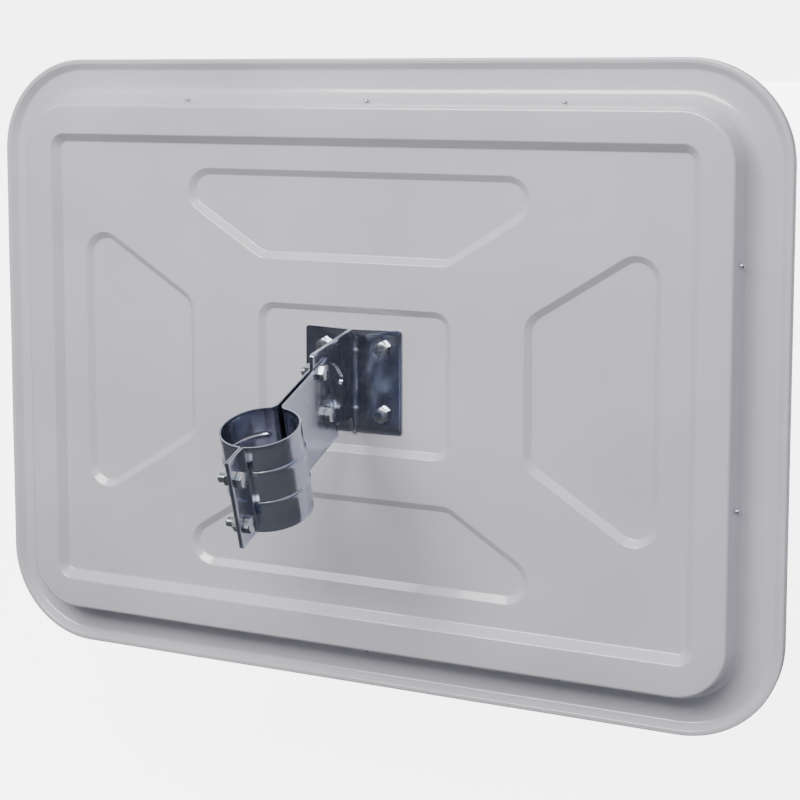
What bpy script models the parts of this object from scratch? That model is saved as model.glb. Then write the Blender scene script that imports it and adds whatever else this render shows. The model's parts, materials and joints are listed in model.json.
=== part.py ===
"""Rectangular convex traffic mirror with a tilting pole bracket, seen as one assembly.

Frame of the part: metres, +Z up along the pole, origin on the pole's axis at the middle of the
clamp band.  The mirror faces -Y and its back faces +Y.  The pieces that tilt hang on an empty that
sits on the pivot bolt; they are drawn in the panel's own frame, where x runs across the panel,
z up the panel and y out of its back, with y = 0 on top of the rim.
"""
import math

import bmesh
import bpy
from mathutils import Matrix, Vector

MM = 0.001

# ---- panel, seen from behind -------------------------------------------------------------------
PANEL_WIDTH = 800 * MM
PANEL_HEIGHT = 600 * MM
PANEL_CORNER = 92 * MM
SHELL_WALL = 3 * MM
SKIRT_DEPTH = 12 * MM          # side wall of the shell in front of the rim
RIM_WIDTH = 5.5 * MM             # flat top of the rim and its rounding
RIM_DROP = 7 * MM              # the flange lies this far below the rim
STEP_INSET = 44.5 * MM         # outline to the outer edge of the raised plateau
STEP_SLOPE = 6.5 * MM          # sideways run of the step wall
FLANGE_TO_STEP = 11 * MM       # where the flange starts to rise, outside the step wall
STEP_FOOT = 4 * MM             # width of the hollow at the foot of the step wall
STEP_EDGE = 3 * MM             # rounding at the top of the step wall
RECESS_EDGE = 1 * MM           # rounding at the top and foot of the recess wall
PLATEAU_HEIGHT = 26.5 * MM     # plateau above the rim
RECESS_INSET = 77.3 * MM       # outline to the middle of the recess wall
RECESS_WALL = 8 * MM           # sideways run of the recess wall
RECESS_CORNER = 11 * MM
RECESS_DEPTH = 8.5 * MM
PRESSING_DEPTH = 5 * MM
PRESSING_WALL = 6 * MM
PRESSING_CORNER = 19 * MM
CENTRE_HALF_WIDTH = 95.3 * MM
CENTRE_HALF_HEIGHT = 66 * MM
CENTRE_CORNER = 13 * MM
TOP_RIB_SHARE = 0.382          # of the room above the centre pressing, the rib below the upper one
SIDE_RIB_SHARE = 0.395         # the same beside it
TOP_MARGIN = 30.4 * MM         # upper and lower pressings to the recess wall
SIDE_MARGIN = 33.2 * MM        # side pressings to the recess wall
DIAGONAL_SLOPE = 0.645         # rise over run of the slanting pressing edges

# ---- mirror lens and its seal ------------------------------------------------------------------
LENS_SHEET = 3 * MM
LENS_RISE = 40 * MM            # height of the dome
LENS_SKIRT_DEPTH = 31 * MM     # how far the skirt reaches back into the shell
LENS_EDGE_FORWARD = 15 * MM    # where the dome starts, in front of the rim
LENS_CLEARANCE = 1.5 * MM      # skirt to the inside of the step wall
LENS_EDGE = 2 * MM             # rounding between skirt and dome
SEAL_WIDTH = 12 * MM
SEAL_HEIGHT = 5 * MM
SEAL_EDGE = 2 * MM
SEAL_SUNK = 1.5 * MM           # the seal fills the hollow under the flange by this

# ---- bracket on the back -----------------------------------------------------------------------
PLATE_SIZE = 98 * MM
PLATE_CORNER = 4 * MM
BRACKET_SHEET = 1.5 * MM
BRACKET_BEND = 4 * MM          # outer radius of the bend
WEB_REACH = 104 * MM           # web's front edge behind the rim plane
WEB_TOP_DROP = 11 * MM         # how much the web's top edge falls to its front
WEB_BOTTOM = 35 * MM           # web's lower edge below the panel's centre
FIXING_HALF_X = 29.5 * MM
FIXING_HALF_Z = 31 * MM
BACKING_SHEET = 2 * MM

# ---- tilt joint --------------------------------------------------------------------------------
TILT = math.radians(17.5)      # the mirror looks down by this at rest
PIVOT_BACK = 80 * MM           # pivot bolt behind the rim plane
PIVOT_BELOW = 19.5 * MM        # pivot bolt below the panel's centre
LOCK_RADIUS = 42 * MM          # lock bolt above the pivot bolt
SLOT_OUTER = math.radians(25)  # ends of the arc slot, from the panel's vertical
SLOT_INNER = math.radians(-52)
SLOT_PLAY = 0.4 * MM           # each side of the lock bolt, beyond a plain hole

# ---- pole clamp --------------------------------------------------------------------------------
POLE_DIAMETER = 66 * MM
BAND_SHEET = 1.5 * MM
BAND_HEIGHT = 80 * MM
PIVOT_TO_POLE = 112.5 * MM
TAIL_END = 15.5 * MM           # tails run on past the pivot bolt
TAIL_FLAT = 14 * MM            # plain stretch on the pole's side of the pivot bolt
TAIL_FILLET = 7 * MM
FLANGE_FILLET = 2.5 * MM
FLANGE_LENGTH = 25.5 * MM
FLANGE_BOLT_OUT = 14.5 * MM    # flange bolts from the band's outside
FLANGE_BOLT_HEIGHTS = (-23 * MM, 19 * MM)
FLANGE_GAP = 0.6 * MM          # between the two flanges
PIVOT_DROP = 9 * MM            # pivot bolt below the band's middle
BEAD_HEIGHTS = (15.5 * MM, -13 * MM)
BEAD_RISE = 1.1 * MM
BEAD_HALF_WIDTH = 2.2 * MM

# ---- fasteners ---------------------------------------------------------------------------------
BOLT_DIAMETER = 8 * MM
BOLT_HOLE = 9 * MM
HEX_ACROSS_FLATS = 13 * MM
HEAD_THICKNESS = 5.3 * MM
NUT_THICKNESS = 6.5 * MM
HEX_CHAMFER = 0.8 * MM
STUD_PROUD = 4.5 * MM
FLANGE_STUD_MORE = 3 * MM      # the flange bolts stand out further
SCREW_HEAD = 6 * MM
SCREW_HEAD_THICKNESS = 1.8 * MM
SCREW_DIAMETER = 3.2 * MM
SCREW_LENGTH = 9 * MM
SCREW_BACK = 11 * MM           # edge screws behind the rim plane
SCREW_SEAT = 1.6 * MM          # under the head, out from the middle of the step wall
SCREWS_ACROSS = (-202 * MM, -12 * MM, 178 * MM)
SCREWS_UP = (-88 * MM, 124 * MM)

GAP = 0.3 * MM                 # between pieces that touch
CORNER_STEPS = 6
ROUND_STEPS = 16

FLOOR_LEVEL = PLATEAU_HEIGHT - RECESS_DEPTH
PRESSING_LEVEL = FLOOR_LEVEL - PRESSING_DEPTH
RECESS_HALF_WIDTH = PANEL_WIDTH / 2 - RECESS_INSET
RECESS_HALF_HEIGHT = PANEL_HEIGHT / 2 - RECESS_INSET
WEB_INNER = GAP / 2
TAIL_INNER = WEB_INNER + BRACKET_SHEET + GAP
BAND_MID_RADIUS = POLE_DIAMETER / 2 + BAND_SHEET / 2
PIVOT_POINT = Vector((0, -PIVOT_TO_POLE, -PIVOT_DROP))


# ---- collections, materials and small helpers --------------------------------------------------
def clear_scene():
    for item in list(bpy.data.objects):
        bpy.data.objects.remove(item, do_unlink=True)


def new_collection(name):
    collection = bpy.data.collections.new(name)
    bpy.context.scene.collection.children.link(collection)
    return collection


def new_material(name, colour, roughness, metallic):
    material = bpy.data.materials.new(name)
    material.use_nodes = True
    shader = material.node_tree.nodes["Principled BSDF"]
    shader.inputs["Base Color"].default_value = (*colour, 1)
    shader.inputs["Roughness"].default_value = roughness
    shader.inputs["Metallic"].default_value = metallic
    return material


def place(name, mesh, material, parent=None, location=(0, 0, 0), smooth=False):
    item = bpy.data.objects.new(name, mesh)
    PARTS.objects.link(item)
    if not mesh.materials:
        mesh.materials.append(material)
    item.parent = parent
    item.location = location
    if smooth:
        mesh.shade_smooth()
        mesh.set_sharp_from_angle(angle=math.radians(35))
    return item


def mesh_from(build_mesh, name):
    mesh = bpy.data.meshes.new(name)
    build_mesh.to_mesh(mesh)
    build_mesh.free()
    return mesh


def cut(target, name, mesh, location=(0, 0, 0)):
    """Subtract a mesh, given in the target's parent frame, with a live Boolean."""
    cutter = bpy.data.objects.new(name, mesh)
    CUTTERS.objects.link(cutter)
    cutter.parent = target.parent
    cutter.location = location
    cutter.hide_render = True
    cutter.display_type = "WIRE"
    modifier = target.modifiers.new(name, "BOOLEAN")
    modifier.operation = "DIFFERENCE"
    modifier.object = cutter
    return cutter


def solidify(item, thickness, offset):
    modifier = item.modifiers.new("wall", "SOLIDIFY")
    modifier.thickness = thickness
    modifier.offset = offset
    modifier.use_even_offset = True


def turned_to(axis):
    """Rotation that takes +Z to the named axis."""
    turns = {
        "X": Matrix.Rotation(math.pi / 2, 4, "Y"),
        "Y": Matrix.Rotation(-math.pi / 2, 4, "X"),
        "Z": Matrix(),
    }
    return turns[axis]


def rods(name, centres, radius, length, axis, segments=ROUND_STEPS):
    """One mesh of equal cylinders, for cutting holes."""
    build_mesh = bmesh.new()
    for centre in centres:
        bmesh.ops.create_cone(build_mesh, cap_ends=True, segments=segments, radius1=radius, radius2=radius,
                              depth=length, matrix=Matrix.Translation(centre) @ turned_to(axis))
    return mesh_from(build_mesh, name)


def prism(name, outline, x_from, x_to):
    """Closed prism on an outline of (y, z) points, from x_from to x_to."""
    build_mesh = bmesh.new()
    face = build_mesh.faces.new([build_mesh.verts.new((x_from, y, z)) for y, z in outline])
    grown = bmesh.ops.extrude_face_region(build_mesh, geom=[face])
    moved = [part for part in grown["geom"] if isinstance(part, bmesh.types.BMVert)]
    bmesh.ops.translate(build_mesh, verts=moved, vec=(x_to - x_from, 0, 0))
    bmesh.ops.recalc_face_normals(build_mesh, faces=build_mesh.faces[:])
    return mesh_from(build_mesh, name)


# ---- outlines ----------------------------------------------------------------------------------
def rounded_outline(corners, radius, steps=CORNER_STEPS):
    """Closed outline through the corners, anticlockwise, each rounded by an arc."""
    points = []
    count = len(corners)
    for index in range(count):
        here = Vector(corners[index])
        before = (Vector(corners[index - 1]) - here).normalized()
        after = (Vector(corners[(index + 1) % count]) - here).normalized()
        half_angle = before.angle(after) / 2
        centre = here + (before + after).normalized() * (radius / math.sin(half_angle))
        start = here + before * (radius / math.tan(half_angle)) - centre
        sweep = math.pi - 2 * half_angle
        for step in range(steps + 1):
            turn = sweep * step / steps
            points.append((centre.x + start.x * math.cos(turn) - start.y * math.sin(turn),
                           centre.y + start.x * math.sin(turn) + start.y * math.cos(turn)))
    return points


def panel_outline(inset, radius):
    half_width = PANEL_WIDTH / 2 - inset
    half_height = PANEL_HEIGHT / 2 - inset
    corners = [(-half_width, -half_height), (half_width, -half_height),
               (half_width, half_height), (-half_width, half_height)]
    return rounded_outline(corners, radius)


def pressing_corners():
    """Corners of the five pressings, at the middle of their walls."""
    top_outer = RECESS_HALF_HEIGHT - TOP_MARGIN
    top_inner = CENTRE_HALF_HEIGHT + TOP_RIB_SHARE * (top_outer - CENTRE_HALF_HEIGHT)
    top_half = CENTRE_HALF_WIDTH + (top_outer - top_inner) / DIAGONAL_SLOPE
    side_outer = RECESS_HALF_WIDTH - SIDE_MARGIN
    side_inner = CENTRE_HALF_WIDTH + SIDE_RIB_SHARE * (side_outer - CENTRE_HALF_WIDTH)
    side_half = CENTRE_HALF_HEIGHT + (side_outer - side_inner) * DIAGONAL_SLOPE
    upper = [(-CENTRE_HALF_WIDTH, top_inner), (CENTRE_HALF_WIDTH, top_inner),
             (top_half, top_outer), (-top_half, top_outer)]
    right = [(side_inner, -CENTRE_HALF_HEIGHT), (side_outer, -side_half),
             (side_outer, side_half), (side_inner, CENTRE_HALF_HEIGHT)]
    lower = [(-x, -z) for x, z in upper]
    left = [(-x, -z) for x, z in right]
    centre = [(-CENTRE_HALF_WIDTH, -CENTRE_HALF_HEIGHT), (CENTRE_HALF_WIDTH, -CENTRE_HALF_HEIGHT),
              (CENTRE_HALF_WIDTH, CENTRE_HALF_HEIGHT), (-CENTRE_HALF_WIDTH, CENTRE_HALF_HEIGHT)]
    return [(upper, PRESSING_CORNER), (right, PRESSING_CORNER), (lower, PRESSING_CORNER),
            (left, PRESSING_CORNER), (centre, CENTRE_CORNER)]


def grown(corners, amount):
    """Outline corners moved outwards so that every side moves by the same amount."""
    moved = []
    count = len(corners)
    for index in range(count):
        here = Vector(corners[index])
        before = (Vector(corners[index - 1]) - here).normalized()
        after = (Vector(corners[(index + 1) % count]) - here).normalized()
        half_angle = before.angle(after) / 2
        moved.append(tuple(here - (before + after).normalized() * (amount / math.sin(half_angle))))
    return moved


# ---- shell, lens and seal ----------------------------------------------------------------------
def add_ring(build_mesh, outline, level):
    return [build_mesh.verts.new((x, level, z)) for x, z in outline]


def ring_edges(build_mesh, ring):
    return [build_mesh.edges.get((ring[i - 1], ring[i])) for i in range(len(ring))]


def loft(build_mesh, first, second):
    """Quads between two rings of the same number of points."""
    for i in range(len(first)):
        build_mesh.faces.new((first[i - 1], first[i], second[i], second[i - 1]))


def face_along_y(build_mesh, way):
    """Turn an open dish so that its bottom faces +Y (way 1) or -Y (way -1)."""
    bmesh.ops.recalc_face_normals(build_mesh, faces=build_mesh.faces[:])
    build_mesh.normal_update()
    tip = max(build_mesh.faces, key=lambda face: way * face.calc_center_median().y)
    if way * tip.normal.y < 0:
        bmesh.ops.reverse_faces(build_mesh, faces=build_mesh.faces[:])


def shell_profile():
    """Inset and level of each ring of the shell, from its front edge to the recess floor."""
    flange = -RIM_DROP
    rim = RIM_WIDTH
    step_foot = STEP_INSET - STEP_SLOPE
    step_top = STEP_INSET - STEP_SLOPE * 0.2
    recess_top = RECESS_INSET - RECESS_WALL / 2
    recess_foot = RECESS_INSET + RECESS_WALL / 2
    return [
        (0, -SKIRT_DEPTH), (0, -rim * 0.25), (rim * 0.13, -rim * 0.06), (rim * 0.5, 0),
        (rim * 0.9, flange * 0.12), (rim + RIM_DROP * 0.55, flange * 0.88), (rim + RIM_DROP, flange),
        (step_foot - FLANGE_TO_STEP, flange * 0.9), (step_foot - STEP_FOOT, flange * 0.4),
        (step_foot, flange * 0.4 + STEP_FOOT * 1.25),
        (STEP_INSET - STEP_SLOPE * 0.65, flange * 0.4 + STEP_FOOT * 3),
        (step_top, PLATEAU_HEIGHT - STEP_EDGE), (STEP_INSET, PLATEAU_HEIGHT - STEP_EDGE * 0.27),
        (STEP_INSET + STEP_EDGE, PLATEAU_HEIGHT), (recess_top - RECESS_EDGE, PLATEAU_HEIGHT),
        (recess_top + RECESS_EDGE, PLATEAU_HEIGHT - RECESS_EDGE),
        (recess_foot - RECESS_EDGE, FLOOR_LEVEL + RECESS_EDGE), (recess_foot + RECESS_EDGE, FLOOR_LEVEL),
    ]


def back_shell(parent):
    build_mesh = bmesh.new()
    rings = []
    for inset, level in shell_profile():
        radius = PANEL_CORNER - inset
        if inset > STEP_INSET + STEP_EDGE:
            radius = RECESS_CORNER + RECESS_INSET - inset
        rings.append(add_ring(build_mesh, panel_outline(inset, radius), level))
    for lower, upper in zip(rings, rings[1:]):
        loft(build_mesh, lower, upper)
    floor_edges = ring_edges(build_mesh, rings[-1])
    for corners, radius in pressing_corners():
        top = add_ring(build_mesh, rounded_outline(grown(corners, PRESSING_WALL / 2),
                                                   radius + PRESSING_WALL / 2), FLOOR_LEVEL)
        foot = add_ring(build_mesh, rounded_outline(grown(corners, -PRESSING_WALL / 2),
                                                    radius - PRESSING_WALL / 2), PRESSING_LEVEL)
        loft(build_mesh, top, foot)
        build_mesh.faces.new(foot)
        floor_edges += ring_edges(build_mesh, top)
    bmesh.ops.triangle_fill(build_mesh, edges=floor_edges, use_beauty=True)
    face_along_y(build_mesh, 1)
    shell = place("back_shell", mesh_from(build_mesh, "back_shell"), PLASTIC, parent, smooth=True)
    solidify(shell, SHELL_WALL, -1)
    cut(shell, "shell_fixing_holes", fixing_holes("shell_fixing_holes", PRESSING_LEVEL, 6 * SHELL_WALL))
    cut(shell, "shell_screw_holes", screw_hole_mesh("shell_screw_holes"))
    return shell


def lens_inset():
    return STEP_INSET + SHELL_WALL + LENS_CLEARANCE


def mirror_lens(parent):
    """Convex lens: a skirt that enters the shell and rings that rise to the middle of the dome."""
    inset = lens_inset()
    edge = -LENS_EDGE_FORWARD
    build_mesh = bmesh.new()
    radius = PANEL_CORNER - inset
    rings = [add_ring(build_mesh, panel_outline(inset, radius), edge + LENS_SKIRT_DEPTH),
             add_ring(build_mesh, panel_outline(inset, radius), edge + LENS_EDGE),
             add_ring(build_mesh, panel_outline(inset + LENS_EDGE, radius - LENS_EDGE), edge)]
    dome_rings = 7
    for step in range(1, dome_rings):
        part = step / dome_rings
        ring = add_ring(build_mesh, dome_outline(inset + LENS_EDGE, part), edge)
        for vertex in ring:
            vertex.co.y -= dome_height(inset + LENS_EDGE, vertex.co.x, vertex.co.z)
        rings.append(ring)
    for lower, upper in zip(rings, rings[1:]):
        loft(build_mesh, lower, upper)
    top = build_mesh.verts.new((0, edge - LENS_RISE, 0))
    for i in range(len(rings[-1])):
        build_mesh.faces.new((rings[-1][i - 1], rings[-1][i], top))
    face_along_y(build_mesh, -1)
    lens = place("mirror_lens", mesh_from(build_mesh, "mirror_lens"), MIRROR, parent, smooth=True)
    solidify(lens, LENS_SHEET, -1)
    cut(lens, "lens_screw_holes", screw_hole_mesh("lens_screw_holes"))
    return lens


def dome_height(inset, x, z):
    """Smooth dome: a parabola across times a parabola up, level all round its edge."""
    half_width = PANEL_WIDTH / 2 - inset
    half_height = PANEL_HEIGHT / 2 - inset
    return LENS_RISE * (1 - (x / half_width) ** 2) * (1 - (z / half_height) ** 2)


def dome_outline(inset, part):
    """Ring of the dome, scaled towards the middle; its corners round off as it shrinks."""
    half_width = (PANEL_WIDTH / 2 - inset) * (1 - part)
    half_height = (PANEL_HEIGHT / 2 - inset) * (1 - part)
    edge_roundness = (PANEL_CORNER - inset) / (PANEL_HEIGHT / 2 - inset)
    roundness = min(half_width, half_height) * (edge_roundness + (0.95 - edge_roundness) * part)
    corners = [(-half_width, -half_height), (half_width, -half_height),
               (half_width, half_height), (-half_width, half_height)]
    return rounded_outline(corners, roundness)


def edge_seal(parent):
    """Rubber ring round the lens, on the front of the shell's flange."""
    inner = lens_inset() - GAP
    outer = inner - SEAL_WIDTH
    back = -RIM_DROP - SHELL_WALL + SEAL_SUNK
    front = back - SEAL_HEIGHT
    build_mesh = bmesh.new()
    section = [(outer, back), (outer, front + SEAL_EDGE), (outer + SEAL_EDGE, front),
               (inner, front), (inner, back)]
    rings = []
    for inset, level in section:
        rings.append(add_ring(build_mesh, panel_outline(inset, PANEL_CORNER - inset), level))
    for first, second in zip(rings, rings[1:] + rings[:1]):
        loft(build_mesh, first, second)
    bmesh.ops.recalc_face_normals(build_mesh, faces=build_mesh.faces[:])
    return place("edge_seal", mesh_from(build_mesh, "edge_seal"), RUBBER, parent, smooth=True)


# ---- bracket -----------------------------------------------------------------------------------
def fixing_points(level):
    across = (-FIXING_HALF_X, FIXING_HALF_X)
    up = (-FIXING_HALF_Z, FIXING_HALF_Z)
    return [Vector((x, level, z)) for x in across for z in up]


def fixing_holes(name, level, depth):
    """Cutter for the four fixing bolts' holes."""
    return rods(name, fixing_points(level), BOLT_HOLE / 2, depth, "Y")


def bend_path(foot_level, side):
    """Mid-line of an angle bracket: along the foot, round the bend and out along the web."""
    bend_radius = BRACKET_BEND - BRACKET_SHEET / 2
    web = side * (WEB_INNER + BRACKET_SHEET / 2)
    points = [(side * PLATE_SIZE / 2, foot_level)]
    steps = 4
    for step in range(steps + 1):
        turn = math.pi / 2 * step / steps
        points.append((web + side * bend_radius * (1 - math.sin(turn)),
                       foot_level + bend_radius * (1 - math.cos(turn))))
    points.append((web, WEB_REACH))
    return points


def angle_bracket(name, side, parent):
    """Half of the bracket: a foot on the shell and a web that carries the tilt joint."""
    foot_level = PRESSING_LEVEL + GAP + BRACKET_SHEET / 2
    build_mesh = bmesh.new()
    half = PLATE_SIZE / 2
    columns = []
    for x, y in bend_path(foot_level, side):
        columns.append([build_mesh.verts.new((x, y, z)) for z in (-half, half)])
    for left, right in zip(columns, columns[1:]):
        build_mesh.faces.new((left[0], right[0], right[1], left[1]))
    bmesh.ops.recalc_face_normals(build_mesh, faces=build_mesh.faces[:])
    bracket = place(name, mesh_from(build_mesh, name), ZINC, parent, smooth=True)
    solidify(bracket, BRACKET_SHEET, 0)
    face = foot_level + BRACKET_SHEET / 2
    wide = 4 * BRACKET_SHEET
    past = WEB_REACH + wide
    start = face + BRACKET_BEND
    upper = [(start, half + wide), (start, half), (WEB_REACH, half - WEB_TOP_DROP),
             (past, half - WEB_TOP_DROP), (past, half + wide)]
    lower = [(start, -WEB_BOTTOM), (start, -half - wide), (past, -half - wide), (past, -WEB_BOTTOM)]
    cut(bracket, name + "_upper_edge", prism(name + "_upper_edge", upper, -wide, wide))
    cut(bracket, name + "_lower_edge", prism(name + "_lower_edge", lower, -wide, wide))
    cut(bracket, name + "_fixing_holes", fixing_holes(name + "_fixing_holes", foot_level, wide))
    pivot = Vector((0, PIVOT_BACK, -PIVOT_BELOW))
    cut(bracket, name + "_pivot_hole", rods(name + "_pivot_hole", [pivot], BOLT_HOLE / 2, 2 * wide, "X"))
    cut(bracket, name + "_slot", prism(name + "_slot", slot_outline(pivot), -wide, wide))
    beyond = half + PLATE_CORNER * 0.2
    foot_corners = [(side * beyond, z) for z in (-beyond, beyond)]
    cut(bracket, name + "_corners", corner_mesh(name + "_corners", foot_corners, foot_level, PLATE_CORNER))
    return bracket


def corner_mesh(name, corners, level, size):
    """Small diamonds that take the sharp corners off a plate."""
    build_mesh = bmesh.new()
    for x, z in corners:
        spot = Matrix.Translation((x, level, z)) @ turned_to("Y")
        bmesh.ops.create_cone(build_mesh, cap_ends=True, segments=4, radius1=size, radius2=size,
                              depth=4 * BRACKET_SHEET, matrix=spot)
    return mesh_from(build_mesh, name)


def slot_outline(pivot):
    """Arc slot centred on the pivot, with round ends; angles run from the panel's vertical."""
    half = BOLT_HOLE / 2 + SLOT_PLAY
    steps = 10

    def on_arc(radius, angle):
        return (pivot.y + radius * math.sin(angle), pivot.z + radius * math.cos(angle))

    def cap(angle, start):
        centre = on_arc(LOCK_RADIUS, angle)
        turns = [start - math.pi * step / 6 for step in range(1, 6)]
        return [(centre[0] + half * math.sin(angle + turn), centre[1] + half * math.cos(angle + turn))
                for turn in turns]

    sweep = [SLOT_INNER + (SLOT_OUTER - SLOT_INNER) * step / steps for step in range(steps + 1)]
    outline = [on_arc(LOCK_RADIUS + half, angle) for angle in sweep]
    outline += [(y, z) for y, z in reversed(cap(SLOT_OUTER, math.pi))]
    outline += [on_arc(LOCK_RADIUS - half, angle) for angle in reversed(sweep)]
    outline += [(y, z) for y, z in reversed(cap(SLOT_INNER, 2 * math.pi))]
    return outline


def backing_plate(parent):
    """Steel plate inside the shell that the fixing bolts pull against."""
    top = PRESSING_LEVEL - SHELL_WALL - GAP
    half = PLATE_SIZE / 2
    corners = [(-half, -half), (half, -half), (half, half), (-half, half)]
    outline = rounded_outline(corners, PLATE_CORNER, 3)
    build_mesh = bmesh.new()
    face = build_mesh.faces.new([build_mesh.verts.new((x, top, z)) for x, z in outline])
    lowered = bmesh.ops.extrude_face_region(build_mesh, geom=[face])
    moved = [part for part in lowered["geom"] if isinstance(part, bmesh.types.BMVert)]
    bmesh.ops.translate(build_mesh, verts=moved, vec=(0, -BACKING_SHEET, 0))
    bmesh.ops.recalc_face_normals(build_mesh, faces=build_mesh.faces[:])
    plate = place("backing_plate", mesh_from(build_mesh, "backing_plate"), ZINC, parent)
    cut(plate, "backing_holes", fixing_holes("backing_holes", top, 4 * BACKING_SHEET))
    return plate


# ---- pole clamp --------------------------------------------------------------------------------
def band_path():
    """Mid-line of one half band, from the tail's end round the pole to the flange's end."""
    tail = TAIL_INNER + BAND_SHEET / 2
    flange = FLANGE_GAP / 2 + BAND_SHEET / 2
    points = [(tail, -PIVOT_TO_POLE - TAIL_END, 0.0), (tail, -PIVOT_TO_POLE + TAIL_FLAT, 0.0)]

    def fillet(offset, radius, sign):
        centre = Vector((offset + radius, sign * math.sqrt((BAND_MID_RADIUS + radius) ** 2
                                                           - (offset + radius) ** 2)))
        arc = Vector((-1, 0)).angle(-centre)
        steps = 4
        round_points = []
        for step in range(steps + 1):
            turn = arc * step / steps
            round_points.append((centre.x - radius * math.cos(turn),
                                 centre.y - sign * radius * math.sin(turn)))
        return round_points

    rear = fillet(tail, TAIL_FILLET, -1)
    front = list(reversed(fillet(flange, FLANGE_FILLET, 1)))
    first_angle = math.atan2(rear[-1][1], rear[-1][0])
    last_angle = math.atan2(front[0][1], front[0][0])
    steps = 16
    points += [(x, y, 0.0) for x, y in rear]
    for step in range(1, steps):
        angle = first_angle + (last_angle - first_angle) * step / steps
        points.append((BAND_MID_RADIUS * math.cos(angle), BAND_MID_RADIUS * math.sin(angle), 1.0))
    points += [(x, y, 1.0 if index == 0 else 0.0) for index, (x, y) in enumerate(front)]
    points.append((flange, BAND_MID_RADIUS + BAND_SHEET / 2 + FLANGE_LENGTH, 0.0))
    return points


def half_band(name, side):
    """Half of the pole clamp, rolled from sheet, with two beads pressed outwards."""
    path = band_path()
    half = BAND_HEIGHT / 2
    levels = [(-half, 0)]
    for bead in sorted(BEAD_HEIGHTS):
        levels += [(bead - BEAD_HALF_WIDTH, 0), (bead - BEAD_HALF_WIDTH * 0.4, 1),
                   (bead + BEAD_HALF_WIDTH * 0.4, 1), (bead + BEAD_HALF_WIDTH, 0)]
    levels.append((half, 0))
    build_mesh = bmesh.new()
    columns = []
    for index, (x, y, beaded) in enumerate(path):
        before = Vector(path[max(index - 1, 0)][:2])
        after = Vector(path[min(index + 1, len(path) - 1)][:2])
        along = (after - before).normalized()
        outward = Vector((along.y, -along.x))
        column = []
        for level, raised in levels:
            lift = BEAD_RISE * raised * beaded
            column.append(build_mesh.verts.new((side * (x + outward.x * lift), y + outward.y * lift, level)))
        columns.append(column)
    for left, right in zip(columns, columns[1:]):
        for row in range(len(levels) - 1):
            build_mesh.faces.new((left[row], right[row], right[row + 1], left[row + 1]))
    bmesh.ops.recalc_face_normals(build_mesh, faces=build_mesh.faces[:])
    band = place(name, mesh_from(build_mesh, name), ZINC, smooth=True)
    solidify(band, BAND_SHEET, 0)
    points = clamp_bolt_points() + flange_bolt_points()
    cut(band, name + "_holes", rods(name + "_holes", points, BOLT_HOLE / 2, POLE_DIAMETER, "X"))
    return band


def clamp_bolt_points():
    """Pivot bolt and lock bolt."""
    return [PIVOT_POINT, PIVOT_POINT + Vector((0, 0, LOCK_RADIUS))]


def flange_bolt_points():
    reach = BAND_MID_RADIUS + BAND_SHEET / 2 + FLANGE_BOLT_OUT
    return [Vector((0, reach, height)) for height in FLANGE_BOLT_HEIGHTS]


# ---- fasteners ---------------------------------------------------------------------------------
def hex_mesh(name, thickness):
    """Six-sided block with its outer corners taken off, standing on z = 0."""
    corner = HEX_ACROSS_FLATS / math.sqrt(3)
    plain = thickness - HEX_CHAMFER
    build_mesh = bmesh.new()
    bmesh.ops.create_cone(build_mesh, cap_ends=True, segments=6, radius1=corner, radius2=corner,
                          depth=plain, matrix=Matrix.Translation((0, 0, plain / 2)))
    top = max(build_mesh.faces, key=lambda face: face.calc_center_median().z)
    raised = bmesh.ops.extrude_face_region(build_mesh, geom=[top])
    verts = [part for part in raised["geom"] if isinstance(part, bmesh.types.BMVert)]
    bmesh.ops.delete(build_mesh, geom=[top], context="FACES_ONLY")
    bmesh.ops.translate(build_mesh, verts=verts, vec=(0, 0, HEX_CHAMFER))
    bmesh.ops.scale(build_mesh, verts=verts, vec=(0.86, 0.86, 1))
    bmesh.ops.recalc_face_normals(build_mesh, faces=build_mesh.faces[:])
    return mesh_from(build_mesh, name)


def join_solids(name, base, tool, operation):
    """Boolean of two meshes, returned as a mesh of its own."""
    base_item = bpy.data.objects.new("base", base)
    tool_item = bpy.data.objects.new("tool", tool)
    bpy.context.scene.collection.objects.link(base_item)
    bpy.context.scene.collection.objects.link(tool_item)
    modifier = base_item.modifiers.new("join", "BOOLEAN")
    modifier.operation = operation
    modifier.object = tool_item
    graph = bpy.context.evaluated_depsgraph_get()
    mesh = bpy.data.meshes.new_from_object(base_item.evaluated_get(graph))
    mesh.name = name
    bpy.data.objects.remove(base_item, do_unlink=True)
    bpy.data.objects.remove(tool_item, do_unlink=True)
    return mesh


def bolt_mesh(name, length):
    """Hex head above z = 0 and a shank that runs down from it."""
    overlap = 1 * MM
    middle = Vector((0, 0, (overlap - length) / 2))
    shank = rods("shank", [middle], BOLT_DIAMETER / 2, length + overlap, "Z", 12)
    return join_solids(name, hex_mesh("head", HEAD_THICKNESS), shank, "UNION")


def nut_mesh(name):
    bore = rods("bore", [Vector((0, 0, 0))], BOLT_DIAMETER / 2 + GAP, 4 * NUT_THICKNESS, "Z", 12)
    return join_solids(name, hex_mesh("block", NUT_THICKNESS), bore, "DIFFERENCE")


def fastener(name, mesh, location, turn, parent=None):
    item = place(name, mesh, ZINC_BRIGHT, parent, location)
    item.rotation_euler = turn
    return item


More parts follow.
